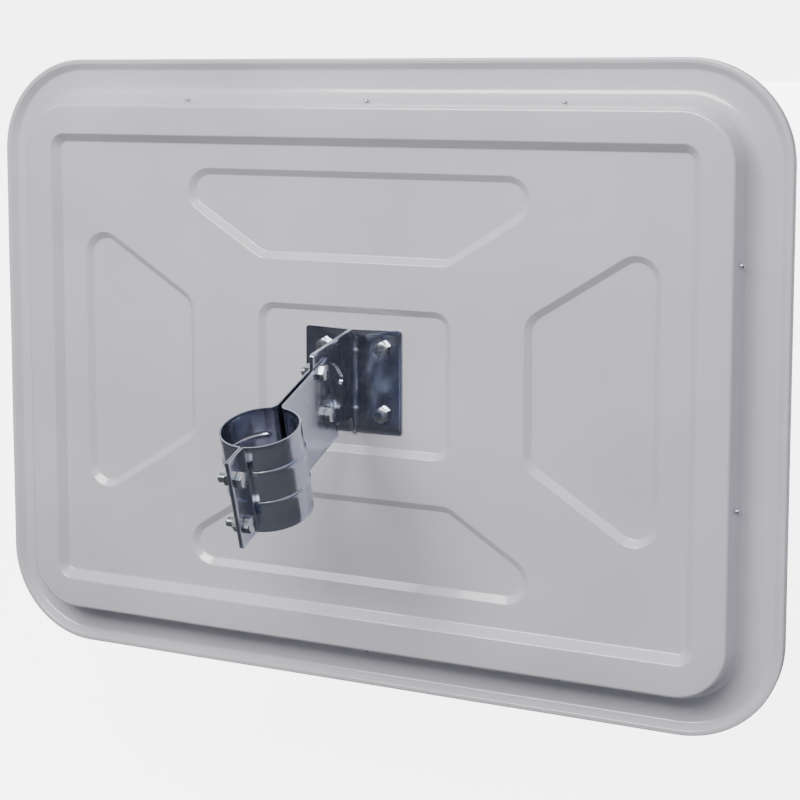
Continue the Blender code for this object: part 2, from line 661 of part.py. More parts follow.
def clamp_fasteners():
    """Two bolts through tails and web, two through the flanges; heads on the -X side."""
    head_turn = (0, -math.pi / 2, 0)
    nut_turn = (0, math.pi / 2, 0)
    tail_face = TAIL_INNER + BAND_SHEET + GAP
    flange_face = FLANGE_GAP / 2 + BAND_SHEET + GAP
    tail_bolt = bolt_mesh("tail_bolt", 2 * tail_face + NUT_THICKNESS + STUD_PROUD)
    flange_stud = STUD_PROUD + FLANGE_STUD_MORE
    flange_bolt = bolt_mesh("flange_bolt", 2 * flange_face + NUT_THICKNESS + flange_stud)
    nut = nut_mesh("clamp_nut")
    names = ["pivot", "lock", "flange_lower", "flange_upper"]
    points = clamp_bolt_points() + flange_bolt_points()
    meshes = [tail_bolt, tail_bolt, flange_bolt, flange_bolt]
    faces = [tail_face, tail_face, flange_face, flange_face]
    for name, point, mesh, face in zip(names, points, meshes, faces):
        fastener(name + "_bolt", mesh, point - Vector((face, 0, 0)), head_turn)
        fastener(name + "_nut", nut, point + Vector((face, 0, 0)), nut_turn)


def fixing_fasteners(parent):
    """Four bolts, heads outside, through bracket foot, shell and backing plate; nuts inside."""
    inside = PRESSING_LEVEL - SHELL_WALL - 2 * GAP - BACKING_SHEET
    outside = PRESSING_LEVEL + 2 * GAP + BRACKET_SHEET
    bolt = bolt_mesh("fixing_bolt", outside - inside + NUT_THICKNESS + STUD_PROUD)
    nut = nut_mesh("fixing_nut")
    for index, point in enumerate(fixing_points(0), start=1):
        fastener("fixing_bolt_%d" % index, bolt, (point.x, outside, point.z), (-math.pi / 2, 0, 0), parent)
        fastener("fixing_nut_%d" % index, nut, (point.x, inside, point.z), (math.pi / 2, 0, 0), parent)


def screw_places():
    """Place and inward direction of each edge screw, on the step wall."""
    inset = STEP_INSET - STEP_SLOPE * 0.5
    places = []
    for x in SCREWS_ACROSS:
        places.append((Vector((x, SCREW_BACK, PANEL_HEIGHT / 2 - inset)), Vector((0, 0, -1))))
        places.append((Vector((x, SCREW_BACK, inset - PANEL_HEIGHT / 2)), Vector((0, 0, 1))))
    for z in SCREWS_UP:
        places.append((Vector((PANEL_WIDTH / 2 - inset, SCREW_BACK, z)), Vector((-1, 0, 0))))
        places.append((Vector((inset - PANEL_WIDTH / 2, SCREW_BACK, z)), Vector((1, 0, 0))))
    return places


def screw_hole_mesh(name):
    build_mesh = bmesh.new()
    radius = SCREW_DIAMETER / 2 + GAP
    for point, inward in screw_places():
        turn = Vector((0, 0, -1)).rotation_difference(inward).to_matrix().to_4x4()
        bmesh.ops.create_cone(build_mesh, cap_ends=True, segments=8, radius1=radius, radius2=radius,
                              depth=3 * SCREW_LENGTH, matrix=Matrix.Translation(point) @ turn)
    return mesh_from(build_mesh, name)


def edge_screws(parent):
    """Small pan-head screws that hold the lens skirt in the shell."""
    head = bmesh.new()
    radius = SCREW_HEAD / 2
    middle = Matrix.Translation((0, 0, SCREW_HEAD_THICKNESS / 2))
    bmesh.ops.create_cone(head, cap_ends=True, segments=12, radius1=radius, radius2=radius * 0.7,
                          depth=SCREW_HEAD_THICKNESS, matrix=middle)
    overlap = SCREW_HEAD_THICKNESS / 2
    shank = rods("screw_shank", [Vector((0, 0, (overlap - SCREW_LENGTH) / 2))], SCREW_DIAMETER / 2,
                 SCREW_LENGTH + overlap, "Z", 8)
    mesh = join_solids("edge_screw", mesh_from(head, "screw_head"), shank, "UNION")
    for index, (point, inward) in enumerate(screw_places(), start=1):
        seat = point - inward * SCREW_SEAT
        screw = place("edge_screw_%02d" % index, mesh, ZINC_BRIGHT, parent, seat)
        screw.rotation_euler = Vector((0, 0, -1)).rotation_difference(inward).to_euler()


# ---- assembly ----------------------------------------------------------------------------------
clear_scene()
PARTS = new_collection("traffic_mirror")
CUTTERS = new_collection("cutters")
PLASTIC = new_material("grey_plastic", (0.50, 0.50, 0.52), 0.35, 0.0)
ZINC = new_material("zinc_plated_sheet", (0.55, 0.58, 0.62), 0.22, 1.0)
ZINC_BRIGHT = new_material("zinc_plated_bolt", (0.70, 0.72, 0.74), 0.25, 1.0)
MIRROR = new_material("mirror_plastic", (0.85, 0.86, 0.88), 0.04, 1.0)
RUBBER = new_material("black_rubber", (0.02, 0.02, 0.02), 0.6, 0.0)


def add_empty(name, location, parent=None):
    empty = bpy.data.objects.new(name, None)
    PARTS.objects.link(empty)
    empty.location = location
    empty.parent = parent
    return empty


mirror_hinge = add_empty("mirror_hinge", PIVOT_POINT)
mirror_hinge.rotation_euler = (TILT, 0, 0)
panel_frame = add_empty("panel_frame", (0, -PIVOT_BACK, PIVOT_BELOW), mirror_hinge)

back_shell(panel_frame)
mirror_lens(panel_frame)
edge_seal(panel_frame)
angle_bracket("bracket_left", 1, panel_frame)
angle_bracket("bracket_right", -1, panel_frame)
backing_plate(panel_frame)
fixing_fasteners(panel_frame)
edge_screws(panel_frame)
half_band("band_left", 1)
half_band("band_right", -1)
clamp_fasteners()
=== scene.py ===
# Rectangular convex traffic mirror on its pole clamp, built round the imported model.
# Lengths in the dictionaries are millimetres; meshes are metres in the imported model's frame.
import json
import math

import bmesh
import bpy
import numpy as np
from mathutils import Matrix, Vector
from mathutils.geometry import delaunay_2d_cdt

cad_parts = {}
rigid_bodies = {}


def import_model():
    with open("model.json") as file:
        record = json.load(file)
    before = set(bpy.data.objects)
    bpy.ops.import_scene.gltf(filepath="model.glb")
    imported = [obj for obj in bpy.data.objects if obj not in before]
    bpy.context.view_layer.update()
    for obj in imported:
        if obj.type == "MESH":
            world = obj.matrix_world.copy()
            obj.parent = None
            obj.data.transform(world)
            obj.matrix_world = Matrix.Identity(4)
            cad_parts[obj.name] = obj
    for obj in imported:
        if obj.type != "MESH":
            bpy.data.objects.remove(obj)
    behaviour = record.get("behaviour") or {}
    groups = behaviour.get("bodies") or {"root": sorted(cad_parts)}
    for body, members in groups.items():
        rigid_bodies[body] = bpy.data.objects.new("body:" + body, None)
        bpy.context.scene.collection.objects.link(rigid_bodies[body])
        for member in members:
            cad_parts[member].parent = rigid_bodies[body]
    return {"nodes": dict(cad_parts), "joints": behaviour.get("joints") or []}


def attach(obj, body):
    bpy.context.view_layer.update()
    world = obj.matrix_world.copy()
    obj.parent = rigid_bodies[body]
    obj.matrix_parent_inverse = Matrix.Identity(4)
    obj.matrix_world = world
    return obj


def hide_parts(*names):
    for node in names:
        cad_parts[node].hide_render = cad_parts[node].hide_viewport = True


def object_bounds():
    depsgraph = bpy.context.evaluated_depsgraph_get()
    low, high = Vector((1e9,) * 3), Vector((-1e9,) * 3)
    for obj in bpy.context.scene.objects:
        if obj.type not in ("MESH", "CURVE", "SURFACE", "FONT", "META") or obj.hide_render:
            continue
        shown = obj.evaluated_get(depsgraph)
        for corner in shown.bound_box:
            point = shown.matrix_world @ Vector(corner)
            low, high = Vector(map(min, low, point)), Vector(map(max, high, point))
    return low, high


for leftover in list(bpy.data.objects):
    bpy.data.objects.remove(leftover, do_unlink=True)

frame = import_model()
cadLow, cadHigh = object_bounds()
mm = 0.001
print("frame loaded:", len(frame["nodes"]), "nodes")


# the panel's own axes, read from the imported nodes

def nodePoints(node):
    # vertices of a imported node, one row each
    mesh = frame["nodes"][node].data
    points = np.empty(len(mesh.vertices) * 3)
    mesh.vertices.foreach_get("co", points)
    return points.reshape(-1, 3)


panel = {
    "halfWidth": 400.0,
    "halfHeight": 300.0,
    "corner": 92.0,
    "plateauLevel": 26.5,  # above the rim, which is level 0
}


def panelAxes():
    # the backing plate is flat, so its thinnest direction is the panel's normal; the shell's crest gives
    # level 0
    plate = nodePoints("backing_plate")
    centre = plate.mean(0)
    normal = np.linalg.svd(plate - centre)[2][2]
    normal = normal * np.sign(normal[1])
    across = np.array([1.0, 0.0, 0.0])
    up = np.cross(across, normal)
    crest = ((nodePoints("back_shell") - centre) @ normal).max()
    return centre + normal * (crest - panel["plateauLevel"] * mm), across, normal, up


panelOrigin, panelAcross, panelNormal, panelUp = panelAxes()
panelTurn = np.array([panelAcross, panelNormal, panelUp])
pivotPoint = np.array(frame["joints"][0]["pos_m"])
print("panel tilt:", round(math.degrees(math.atan2(panelNormal[2], panelNormal[1])), 2), "degrees")


def fromPanel(points):
    # panel millimetres (across, out of the back, up) to metres in the frame
    return panelOrigin + (np.asarray(points, float) * mm) @ panelTurn


def fromRow(points):
    return np.asarray(points, float) * mm


# materials

def hexColor(text):
    # sRGB hex to linear
    values = [int(text[i:i + 2], 16) / 255 for i in (0, 2, 4)]
    return [v / 12.92 if v <= 0.04045 else ((v + 0.055) / 1.055) ** 2.4 for v in values] + [1.0]


def addNode(tree, kind, settings=None, inputs=None, stops=None):
    # an input is a value, a hex colour or a socket to link; stops are a ramp's positions and hex colours
    node = tree.nodes.new(kind)
    for name, value in (settings or {}).items():
        setattr(node, name, value)
    for name, value in (inputs or {}).items():
        if isinstance(value, bpy.types.NodeSocket):
            tree.links.new(value, node.inputs[name])
        else:
            node.inputs[name].default_value = hexColor(value) if isinstance(value, str) else value
    if stops:
        elements = node.color_ramp.elements
        elements[0].position, elements[1].position = stops[0][0], stops[-1][0]
        elements[0].color, elements[1].color = hexColor(stops[0][1]), hexColor(stops[-1][1])
        for position, color in stops[1:-1]:
            elements.new(position).color = hexColor(color)
    return node


def newMaterial(name, fixed):
    material = bpy.data.materials.new(name)
    material.use_nodes = True
    tree = material.node_tree
    shader = tree.nodes["Principled BSDF"]
    for socket, value in fixed.items():
        shader.inputs[socket].default_value = value
    place = addNode(tree, "ShaderNodeTexCoord").outputs["Object"]
    return material, tree, shader, place


def noiseMaterial(name, look, turn=(0.0, 0.0, 0.0)):
    # colour and roughness each follow a noise, or share one; each bump lies over the bump before it; scales
    # are 1000 / size in mm
    material, tree, shader, place = newMaterial(name, look["fixed"])
    tint = addNode(tree, "ShaderNodeTexNoise", inputs={"Vector": place, **look["tint"]}).outputs["Fac"]
    color = addNode(tree, "ShaderNodeValToRGB", inputs={"Fac": tint}, stops=look["colors"])
    tree.links.new(color.outputs["Color"], shader.inputs["Base Color"])
    haze = tint
    if "haze" in look:
        haze = addNode(tree, "ShaderNodeTexNoise", inputs={"Vector": place, **look["haze"]}).outputs["Fac"]
    spread = addNode(tree, "ShaderNodeMapRange", inputs={
        "Value": haze, "From Min": look["hazeRange"][0], "From Max": look["hazeRange"][1],
        "To Min": look["roughness"][0], "To Max": look["roughness"][1]})
    tree.links.new(spread.outputs["Result"], shader.inputs["Roughness"])
    if "stretch" in look:
        place = addNode(tree, "ShaderNodeMapping", inputs={
            "Vector": place, "Rotation": turn, "Scale": look["stretch"]}).outputs["Vector"]
    under = {}
    for noise, strength, depth in look.get("bumps", ()):
        relief = addNode(tree, "ShaderNodeTexNoise", inputs={"Vector": place, **noise})
        bump = addNode(tree, "ShaderNodeBump", inputs={
            "Height": relief.outputs["Fac"], "Strength": strength, "Distance": depth * mm, **under})
        under = {"Normal": bump.outputs["Normal"]}
    if under:
        tree.links.new(under["Normal"], shader.inputs["Normal"])
    return material


# injection-moulded ABS, pale lilac grey: a hard skin over a satin body, faint clouding, very fine grain that
# softens the highlights
shellLook = {
    "fixed": {"IOR": 1.53, "Specular IOR Level": 0.6, "Coat Weight": 0.6, "Coat Roughness": 0.07},
    "tint": {"Scale": 1000 / 160.0, "Detail": 3.0, "Roughness": 0.5},  # clouds left by the plastic's flow
    "colors": [(0.32, "bfbdc4"), (0.5, "c4c2c9"), (0.68, "c9c7ce")],
    "haze": {"Scale": 1000 / 22.0, "Detail": 5.0, "Roughness": 0.62},
    "hazeRange": (0.3, 0.7),
    "roughness": (0.17, 0.27),
    "bumps": [
        ({"Scale": 1000 / 45.0, "Detail": 1.0}, 1.0, 0.10),    # slow unevenness of a large moulded wall
        ({"Scale": 1000 / 1.6, "Detail": 2.0}, 1.0, 0.0054),   # fine moulded texture
    ],
}
# electroplated zinc on cold-rolled sheet, blue passivated: bright, with rolling lines one way, drawn coarser
# than they are so that they show
zincLook = {
    "fixed": {"Metallic": 1.0},
    "tint": {"Scale": 1000 / 28.0, "Detail": 3.0, "Distortion": 0.6},
    "colors": [(0.3, "b1b6c9"), (0.52, "bcc0ce"), (0.74, "c8c9ce")],
    "haze": {"Scale": 1000 / 11.0, "Detail": 6.0, "Roughness": 0.7},
    "hazeRange": (0.3, 0.75),
    "roughness": (0.11, 0.27),
    "stretch": (1000 / 26.0, 1000 / 0.45, 1000 / 0.45),
    "bumps": [({"Scale": 1.0, "Detail": 3.0, "Roughness": 0.6}, 0.35, 0.01)],
}
# zinc-plated steel, cold formed: brighter and a little rougher than the sheet, with pitted faces
boltLook = {
    "fixed": {"Metallic": 1.0},
    "tint": {"Scale": 1000 / 5.0, "Detail": 4.0},
    "colors": [(0.3, "b9c2ca"), (0.5, "c6cbd0"), (0.72, "cbcbc8")],
    "hazeRange": (0.3, 0.7),
    "roughness": (0.18, 0.34),
    "bumps": [({"Scale": 1000 / 0.8, "Detail": 2.0}, 0.5, 0.02)],
}
# vacuum-silvered acrylic: a near-perfect mirror with a faint film
faceLook = {
    "fixed": {"Metallic": 1.0},
    "tint": {"Scale": 1000 / 60.0, "Detail": 4.0},
    "colors": [(0.35, "e2e6e9"), (0.65, "ebedee")],
    "hazeRange": (0.4, 0.75),
    "roughness": (0.02, 0.05),
}
# EPDM edge seal, extruded: matt black with a dusty bloom
sealLook = {
    "fixed": {"Specular IOR Level": 0.35},
    "tint": {"Scale": 1000 / 6.0, "Detail": 5.0},
    "colors": [(0.35, "141416"), (0.7, "26272a")],
    "hazeRange": (0.3, 0.7),
    "roughness": (0.5, 0.72),
}

plasticGrey = noiseMaterial("mouldedGreyPlastic", shellLook)
zincBracket = noiseMaterial("zincPlatedBracketSheet", zincLook, (0.0, math.pi / 2, 0.0))
zincBand = noiseMaterial("zincPlatedBandSheet", zincLook)
zincBolt = noiseMaterial("zincPlatedFastener", boltLook)
mirrorFace = noiseMaterial("silveredAcrylic", faceLook)
rubberBlack = noiseMaterial("blackRubber", sealLook)
print("materials made")


# mesh helpers

def makePiece(name, points, faces, material, sharpAngle=40.0):
    mesh = bpy.data.meshes.new(name)
    mesh.from_pydata(np.asarray(points, float).tolist(), [], [tuple(face) for face in faces])
    mesh.materials.append(material)
    mesh.validate()
    piece = bpy.data.objects.new(name, mesh)
    bpy.context.scene.collection.objects.link(piece)
    finishShading(piece, sharpAngle)
    return piece


def finishShading(piece, sharpAngle):
    piece.data.shade_smooth()
    piece.data.set_sharp_from_angle(angle=math.radians(sharpAngle))


def gridFaces(rows, columns, offset=0, closed=True):
    # quads between neighbouring rows of a grid; closed joins the last column to the first
    last = columns if closed else columns - 1
    row, column = np.meshgrid(np.arange(rows - 1), np.arange(last), indexing="ij")
    after = (column + 1) % columns
    quads = np.stack([row * columns + column, row * columns + after,
                      (row + 1) * columns + after, (row + 1) * columns + column], -1)
    return (quads.reshape(-1, 4) + offset).tolist()


def faceOutward(piece):
    work = bmesh.new()
    work.from_mesh(piece.data)
    bmesh.ops.remove_doubles(work, verts=work.verts[:], dist=1e-6)
    bmesh.ops.recalc_face_normals(work, faces=work.faces[:])
    work.to_mesh(piece.data)
    work.free()


def thicken(piece, thickness, offset=0):
    wall = piece.modifiers.new("sheet", "SOLIDIFY")
    wall.thickness = thickness * mm
    wall.offset = offset
    wall.use_even_offset = offset == 0


def breakEdges(piece, width, angle):
    # small bevel on every edge sharper than the angle
    broken = piece.modifiers.new("brokenEdges", "BEVEL")
    broken.width = width * mm
    broken.segments = 2
    broken.limit_method = "ANGLE"
    broken.angle_limit = math.radians(angle)


def bakeModifiers(piece):
    graph = bpy.context.evaluated_depsgraph_get()
    mesh = bpy.data.meshes.new_from_object(piece.evaluated_get(graph))
    piece.modifiers.clear()
    piece.data = mesh


def roundedRings(halfWidths, halfHeights, radii, cornerSteps, sideSteps):
    # one rounded rectangle for each entry: four quarter arcs, and straight runs cut into equal steps
    halfWidths, halfHeights, radii = [np.asarray(values, float)[:, None]
                                      for values in (halfWidths, halfHeights, radii)]
    arcs = []
    for quarter, (signX, signZ) in enumerate([(1, -1), (1, 1), (-1, 1), (-1, -1)]):
        angle = (quarter - 1 + np.linspace(0, 1, cornerSteps + 1)[None, :]) * math.pi / 2
        arcs.append(np.stack([signX * (halfWidths - radii) + radii * np.cos(angle),
                              signZ * (halfHeights - radii) + radii * np.sin(angle)], -1))
    share = np.linspace(0, 1, sideSteps + 2)[1:-1][None, :, None]
    runs = []
    for quarter in range(4):
        here, after = arcs[quarter][:, -1:, :], arcs[(quarter + 1) % 4][:, :1, :]
        runs += [arcs[quarter], here * (1 - share) + after * share]
    return np.concatenate(runs, axis=1)


def cornerSides(corners, index):
    # a corner, the unit vectors to its neighbours and between them, and half of its angle
    here = np.array(corners[index][:2], float)
    before = np.array(corners[index - 1][:2], float) - here
    after = np.array(corners[(index + 1) % len(corners)][:2], float) - here
    before, after = before / np.linalg.norm(before), after / np.linalg.norm(after)
    bisector = (before + after) / np.linalg.norm(before + after)
    return here, before, after, bisector, math.acos(np.clip(before @ after, -1, 1)) / 2


def filletedPath(corners, arcSteps=6):
    # open path through (a, b, radius) corners, each inner corner replaced by its tangent arc
    path = [np.array(corners[0][:2], float)]
    for index in range(1, len(corners) - 1):
        here, before, after, bisector, half = cornerSides(corners, index)
        radius = corners[index][2]
        centre = here + bisector * radius / math.sin(half)
        start = here + before * radius / math.tan(half) - centre
        end = here + after * radius / math.tan(half) - centre
        turn = math.pi - 2 * half
        for share in np.arange(arcSteps + 1) / arcSteps:
            weights = math.sin((1 - share) * turn), math.sin(share * turn)
            path.append(centre + (start * weights[0] + end * weights[1]) / math.sin(turn))
    path.append(np.array(corners[-1][:2], float))
    return np.array(path)


def roundedPolygon(corners, radii, steps):
    # closed outline through the corners, each replaced by its tangent arc
    count = len(corners)
    outline = []
    for index, radius in enumerate(np.broadcast_to(radii, count)):
        trio = [(*corners[index - 1], 0), (*corners[index], radius), (*corners[(index + 1) % count], 0)]
        outline.append(filletedPath(trio, steps)[1:-1])
    return np.concatenate(outline)


def grownPolygon(corners, amount):
    # every side moved outwards by the same amount
    grown = []
    for index in range(len(corners)):
        here, before, after, bisector, half = cornerSides(corners, index)
        grown.append(here - bisector * amount / math.sin(half))
    return grown


def insideOutline(points, outline):
    # even-odd test: how many sides of the outline lie to the right of each point
    x, z = points[:, :1], points[:, 1:]
    here, after = outline, np.roll(outline, -1, axis=0)
    spans = (here[None, :, 1] > z) != (after[None, :, 1] > z)
    rise = after[:, 1] - here[:, 1]
    rise = np.where(np.abs(rise) < 1e-12, 1e-12, rise)
    crossing = here[None, :, 0] + (z - here[None, :, 1]) * ((after - here)[None, :, 0] / rise[None, :])
    return (np.sum(spans & (x < crossing), axis=1) % 2) == 1


def insideLoops(points, loops):
    # inside the first loop and outside the others
    keep = insideOutline(points, loops[0])
    for hole in loops[1:]:
        keep &= ~insideOutline(points, hole)
    return keep


def fillLoops(loops, inner, clearance):
    # flat sheet inside the first loop and outside the others, through those inner points that keep clear of
    # the border; returns them, the sheet's points and faces, and each point's number in the input
    border = np.concatenate(loops)
    inner = inner[insideLoops(inner, loops)]
    nearest = np.sqrt(((inner[:, None, :] - border[None, :, :]) ** 2).sum(-1)).min(1)
    inner = inner[nearest > clearance]
    edges, start = [], 0
    for loop in loops:
        edges += [(start + i, start + (i + 1) % len(loop)) for i in range(len(loop))]
        start += len(loop)
    flat = [Vector(p) for p in np.concatenate([border, inner])]
    result = delaunay_2d_cdt(flat, edges, [], 0, 1e-5, True)
    points = np.array(result[0])
    middles = np.array([points[list(triangle)].mean(0) for triangle in result[2]])
    wanted = insideLoops(middles, loops)
    faces = [tuple(triangle) for triangle, keep in zip(result[2], wanted) if keep]
    return inner, points, faces, [origin[0] for origin in result[3]]


# back shell

shell = {
    "skirtDepth": 12.0,
    "rimWidth": 4.6,
    "rimFall": 0.3,
    "rimEdge": 1.8,
    "flangeLevel": -7.0,
    "flangeFoot": 10.5,
    "flangeEdge": 3.0,
    "flangeRise": 0.5,        # from the foot of the rim to the foot of the step wall
    "wallFoot": 37.2,
    "wallHollow": 13.0,       # radius at the foot of the step wall
    "crestInset": 44.3,
    "crestEdge": 3.4,
    "recessTop": 73.3,
    "recessFoot": 81.3,
    "recessEdge": 2.6,
    "recessCorner": 88.3,     # corner radius of the recess plus its inset
    "cornerBlend": (47.5, 71.3),
    "floorLevel": 18.0,
    "floorRing": 3.5,         # the section ends this far into the floor
    "pressingLevel": 13.0,
    "pressingRun": 6.5,
    "pressingRings": (2.0, 2.5),  # flat ring outside and inside each pressing's wall
    "pressingCorner": 19.0,
    "pressingEdge": 2.0,      # rounding at the top and foot of the pressings' walls
    "centreCorner": 13.0,
    "centreHalf": (95.3, 66.0),
    "topPressing": (114.2, 192.3),
    "sidePressing": (172.0, 289.5),
    "slope": 0.645,
    "wall": 3.0,
    "innerLevels": (-4.6, -5.6, -3.5, 15.0),
    "wave": 0.22,             # slow unevenness of the broad faces
    "waveStart": (75.0, 135.0),   # it sets in between these distances from the middle
    "meshSpacing": 26.0,
    "cornerSteps": 18,
    "sideSteps": 26,
}


def cornerRadius(inset):
    # follows the outline outside the crest, and the sharper corners of the recess inside it
    outer = panel["corner"] - inset
    inner = shell["recessCorner"] - inset
    low, high = shell["cornerBlend"]
    blend = np.clip((inset - low) / (high - low), 0, 1)
    return outer * (1 - blend) + inner * blend


def slowWave(points):
    # two crossing waves, about 0.2 mm high and 150 to 260 mm long
    x, z = points[..., 0], points[..., 1]
    crossing = 0.6 * np.sin(x / 41.0 + 0.8) * np.cos(z / 33.0 - 0.4)
    return shell["wave"] * (crossing + 0.4 * np.sin((x + z) / 24.0))


def panelRings(profile):
    # profile is (inset, level) rows; result is rings of panel points
    inset, level = profile[:, 0], profile[:, 1]
    flat = roundedRings(panel["halfWidth"] - inset, panel["halfHeight"] - inset, cornerRadius(inset),
                        shell["cornerSteps"], shell["sideSteps"])
    return flat, np.broadcast_to(level[:, None], flat.shape[:2])


def pressingOutlines():
    # four trapezoids round a centre rectangle, all sides given at the middle of the pressing's wall
    s = shell
    halfWidth, halfHeight = s["centreHalf"]
    low, high = s["topPressing"]
    wide = halfWidth + (high - low) / s["slope"]
    top = [(-halfWidth, low), (halfWidth, low), (wide, high), (-wide, high)]
    near, far = s["sidePressing"]
    tall = halfHeight + (far - near) * s["slope"]
    side = [(near, -halfHeight), (far, -tall), (far, tall), (near, halfHeight)]
    centre = [(-halfWidth, -halfHeight), (halfWidth, -halfHeight),
              (halfWidth, halfHeight), (-halfWidth, halfHeight)]
    flip = [[(-x, -z) for x, z in corners] for corners in (top, side)]
    return [(corners, s["pressingCorner"]) for corners in (top, side, *flip)] + [(centre, s["centreCorner"])]


def sunkPressing(corners, radius):
    # one ring of panel points for each step of the wall, outermost first
    s = shell
    half = s["pressingRun"] / 2
    outside, inside = s["pressingRings"]
    drop = filletedPath([(half + outside, s["floorLevel"], 0), (half, s["floorLevel"], s["pressingEdge"]),
                         (-half, s["pressingLevel"], s["pressingEdge"]),
                         (-half - inside, s["pressingLevel"], 0)], 6)
    rings = [roundedPolygon(grownPolygon(corners, out), radius + out, 9) for out in drop[:, 0]]
    stack = np.array([np.column_stack([ring[:, 0], np.full(len(ring), down), ring[:, 1]])
                      for ring, down in zip(rings, drop[:, 1])])
    return rings, stack.reshape(-1, 3)


def buildShell():
    # rings follow the moulded section from the front edge to the recess floor; the floor between the
    # pressings is a triangulated sheet; each pressing is its own set of rings; a coarser inner skin closes
    # the wall
    s = shell
    plateau = panel["plateauLevel"]
    section = filletedPath([
        (0, -s["skirtDepth"], 0), (0, 0, s["rimEdge"]), (s["rimWidth"], -s["rimFall"], s["rimEdge"]),
        (s["flangeFoot"], s["flangeLevel"], s["flangeEdge"]),
        (s["wallFoot"], s["flangeLevel"] + s["flangeRise"], s["wallHollow"]),
        (s["crestInset"], plateau, s["crestEdge"]), (s["recessTop"], plateau, s["recessEdge"]),
        (s["recessFoot"], s["floorLevel"], s["recessEdge"]),
        (s["recessFoot"] + s["floorRing"], s["floorLevel"], 0)], 7)
    flat, level = panelRings(section)
    points = [np.stack([flat[..., 0], level, flat[..., 1]], -1).reshape(-1, 3)]
    columns = flat.shape[1]
    faces = gridFaces(len(section), columns)
    total = len(points[0])
    edgeLoops = [(flat[-1], total - columns)]
    for corners, radius in pressingOutlines():
        rings, stack = sunkPressing(corners, radius)
        count = len(rings[0])
        faces += gridFaces(len(rings), count, total)
        edgeLoops.append((rings[0], total))
        floorPoints, floorFaces = fillLevel([rings[-1]], s["pressingLevel"])
        faces += joinFill(floorFaces, [(rings[-1], total + len(stack) - count)], total + len(stack))
        points += [stack, floorPoints]
        total += len(stack) + len(floorPoints)
    sheetPoints, sheetFaces = fillLevel([loop for loop, start in edgeLoops], s["floorLevel"])
    faces += joinFill(sheetFaces, edgeLoops, total)
    points.append(sheetPoints)
    total += len(sheetPoints)
    wall = s["wall"]
    behindRim, besideRim, underWall, besideFloor = s["innerLevels"]
    inner = np.array([(wall, -s["skirtDepth"]), (wall, behindRim), (4.2, besideRim),
                      (8.6, s["flangeLevel"] - wall), (s["wallFoot"] - 6, s["flangeLevel"] - wall),
                      (s["wallFoot"] + 2.2, underWall), (s["crestInset"] + 2.6, plateau - wall),
                      (s["recessTop"] - 2, plateau - wall), (s["recessFoot"] - 1, besideFloor),
                      (s["recessFoot"] + 12, s["pressingLevel"] - wall)])
    flat, level = panelRings(inner)
    skin = np.stack([flat[..., 0], level, flat[..., 1]], -1)
    points.append(skin.reshape(-1, 3))
    faces += [(i, total + i, total + (i + 1) % columns, (i + 1) % columns) for i in range(columns)]
    faces += gridFaces(len(skin), columns, total)
    lastRing = total + (len(skin) - 1) * columns
    total += len(skin) * columns
    points.append(np.array([[0, s["pressingLevel"] - wall, 0]]))
    faces += [(lastRing + i, lastRing + (i + 1) % columns, total) for i in range(columns)]
    points = np.concatenate(points)
    near, far = s["waveStart"]
    share = np.clip((np.hypot(points[:, 0], points[:, 2]) - near) / (far - near), 0, 1)
    outside = points[:, 1] > s["flangeLevel"] - 1.0
    points[:, 1] += np.where(outside, slowWave(points[:, [0, 2]]) * share, 0)
    piece = makePiece("backShell", fromPanel(points), faces, plasticGrey, 50)
    faceOutward(piece)
    finishShading(piece, 50)
    return piece


def fillLevel(loops, level):
    # level sheet between the loops with a staggered grid of inner points, so that its triangles stay well
    # shaped; returns only the new inner points, and faces that count the loops' points first
    spacing = shell["meshSpacing"]
    low, high = loops[0].min(0), loops[0].max(0)
    columnsX = np.arange(low[0], high[0], spacing)
    rowsZ = np.arange(low[1], high[1], spacing * 0.87)
    x, z = np.meshgrid(columnsX, rowsZ)
    x = x + (np.arange(len(rowsZ)) % 2)[:, None] * spacing / 2
    inner, points, faces, source = fillLoops(loops, np.column_stack([x.ravel(), z.ravel()]), spacing * 0.3)
    faces = [tuple(source[i] for i in face) for face in faces]
    return np.column_stack([inner[:, 0], np.full(len(inner), level), inner[:, 1]]), faces


def joinFill(faces, loops, innerStart):
    # renumber a fill's faces: the loops' points are already in the mesh, the inner points come after
    table, count = [], 0
    for loop, start in loops:
        table += list(range(start, start + len(loop)))
        count += len(loop)
    return [tuple(table[i] if i < count else innerStart + i - count for i in face) for face in faces]


shellPiece = buildShell()
print("shell:", len(shellPiece.data.polygons), "faces")


# lens and seal

lens = {
    "inset": 49.0,
    "skirtBack": 16.0,
    "edgeLevel": -15.0,
    "edgeRound": 2.8,
    "rise": 40.0,
    "sheet": 3.0,
    "domeRings": 44,
    "centreRound": 0.95,      # roundness of the innermost ring
}


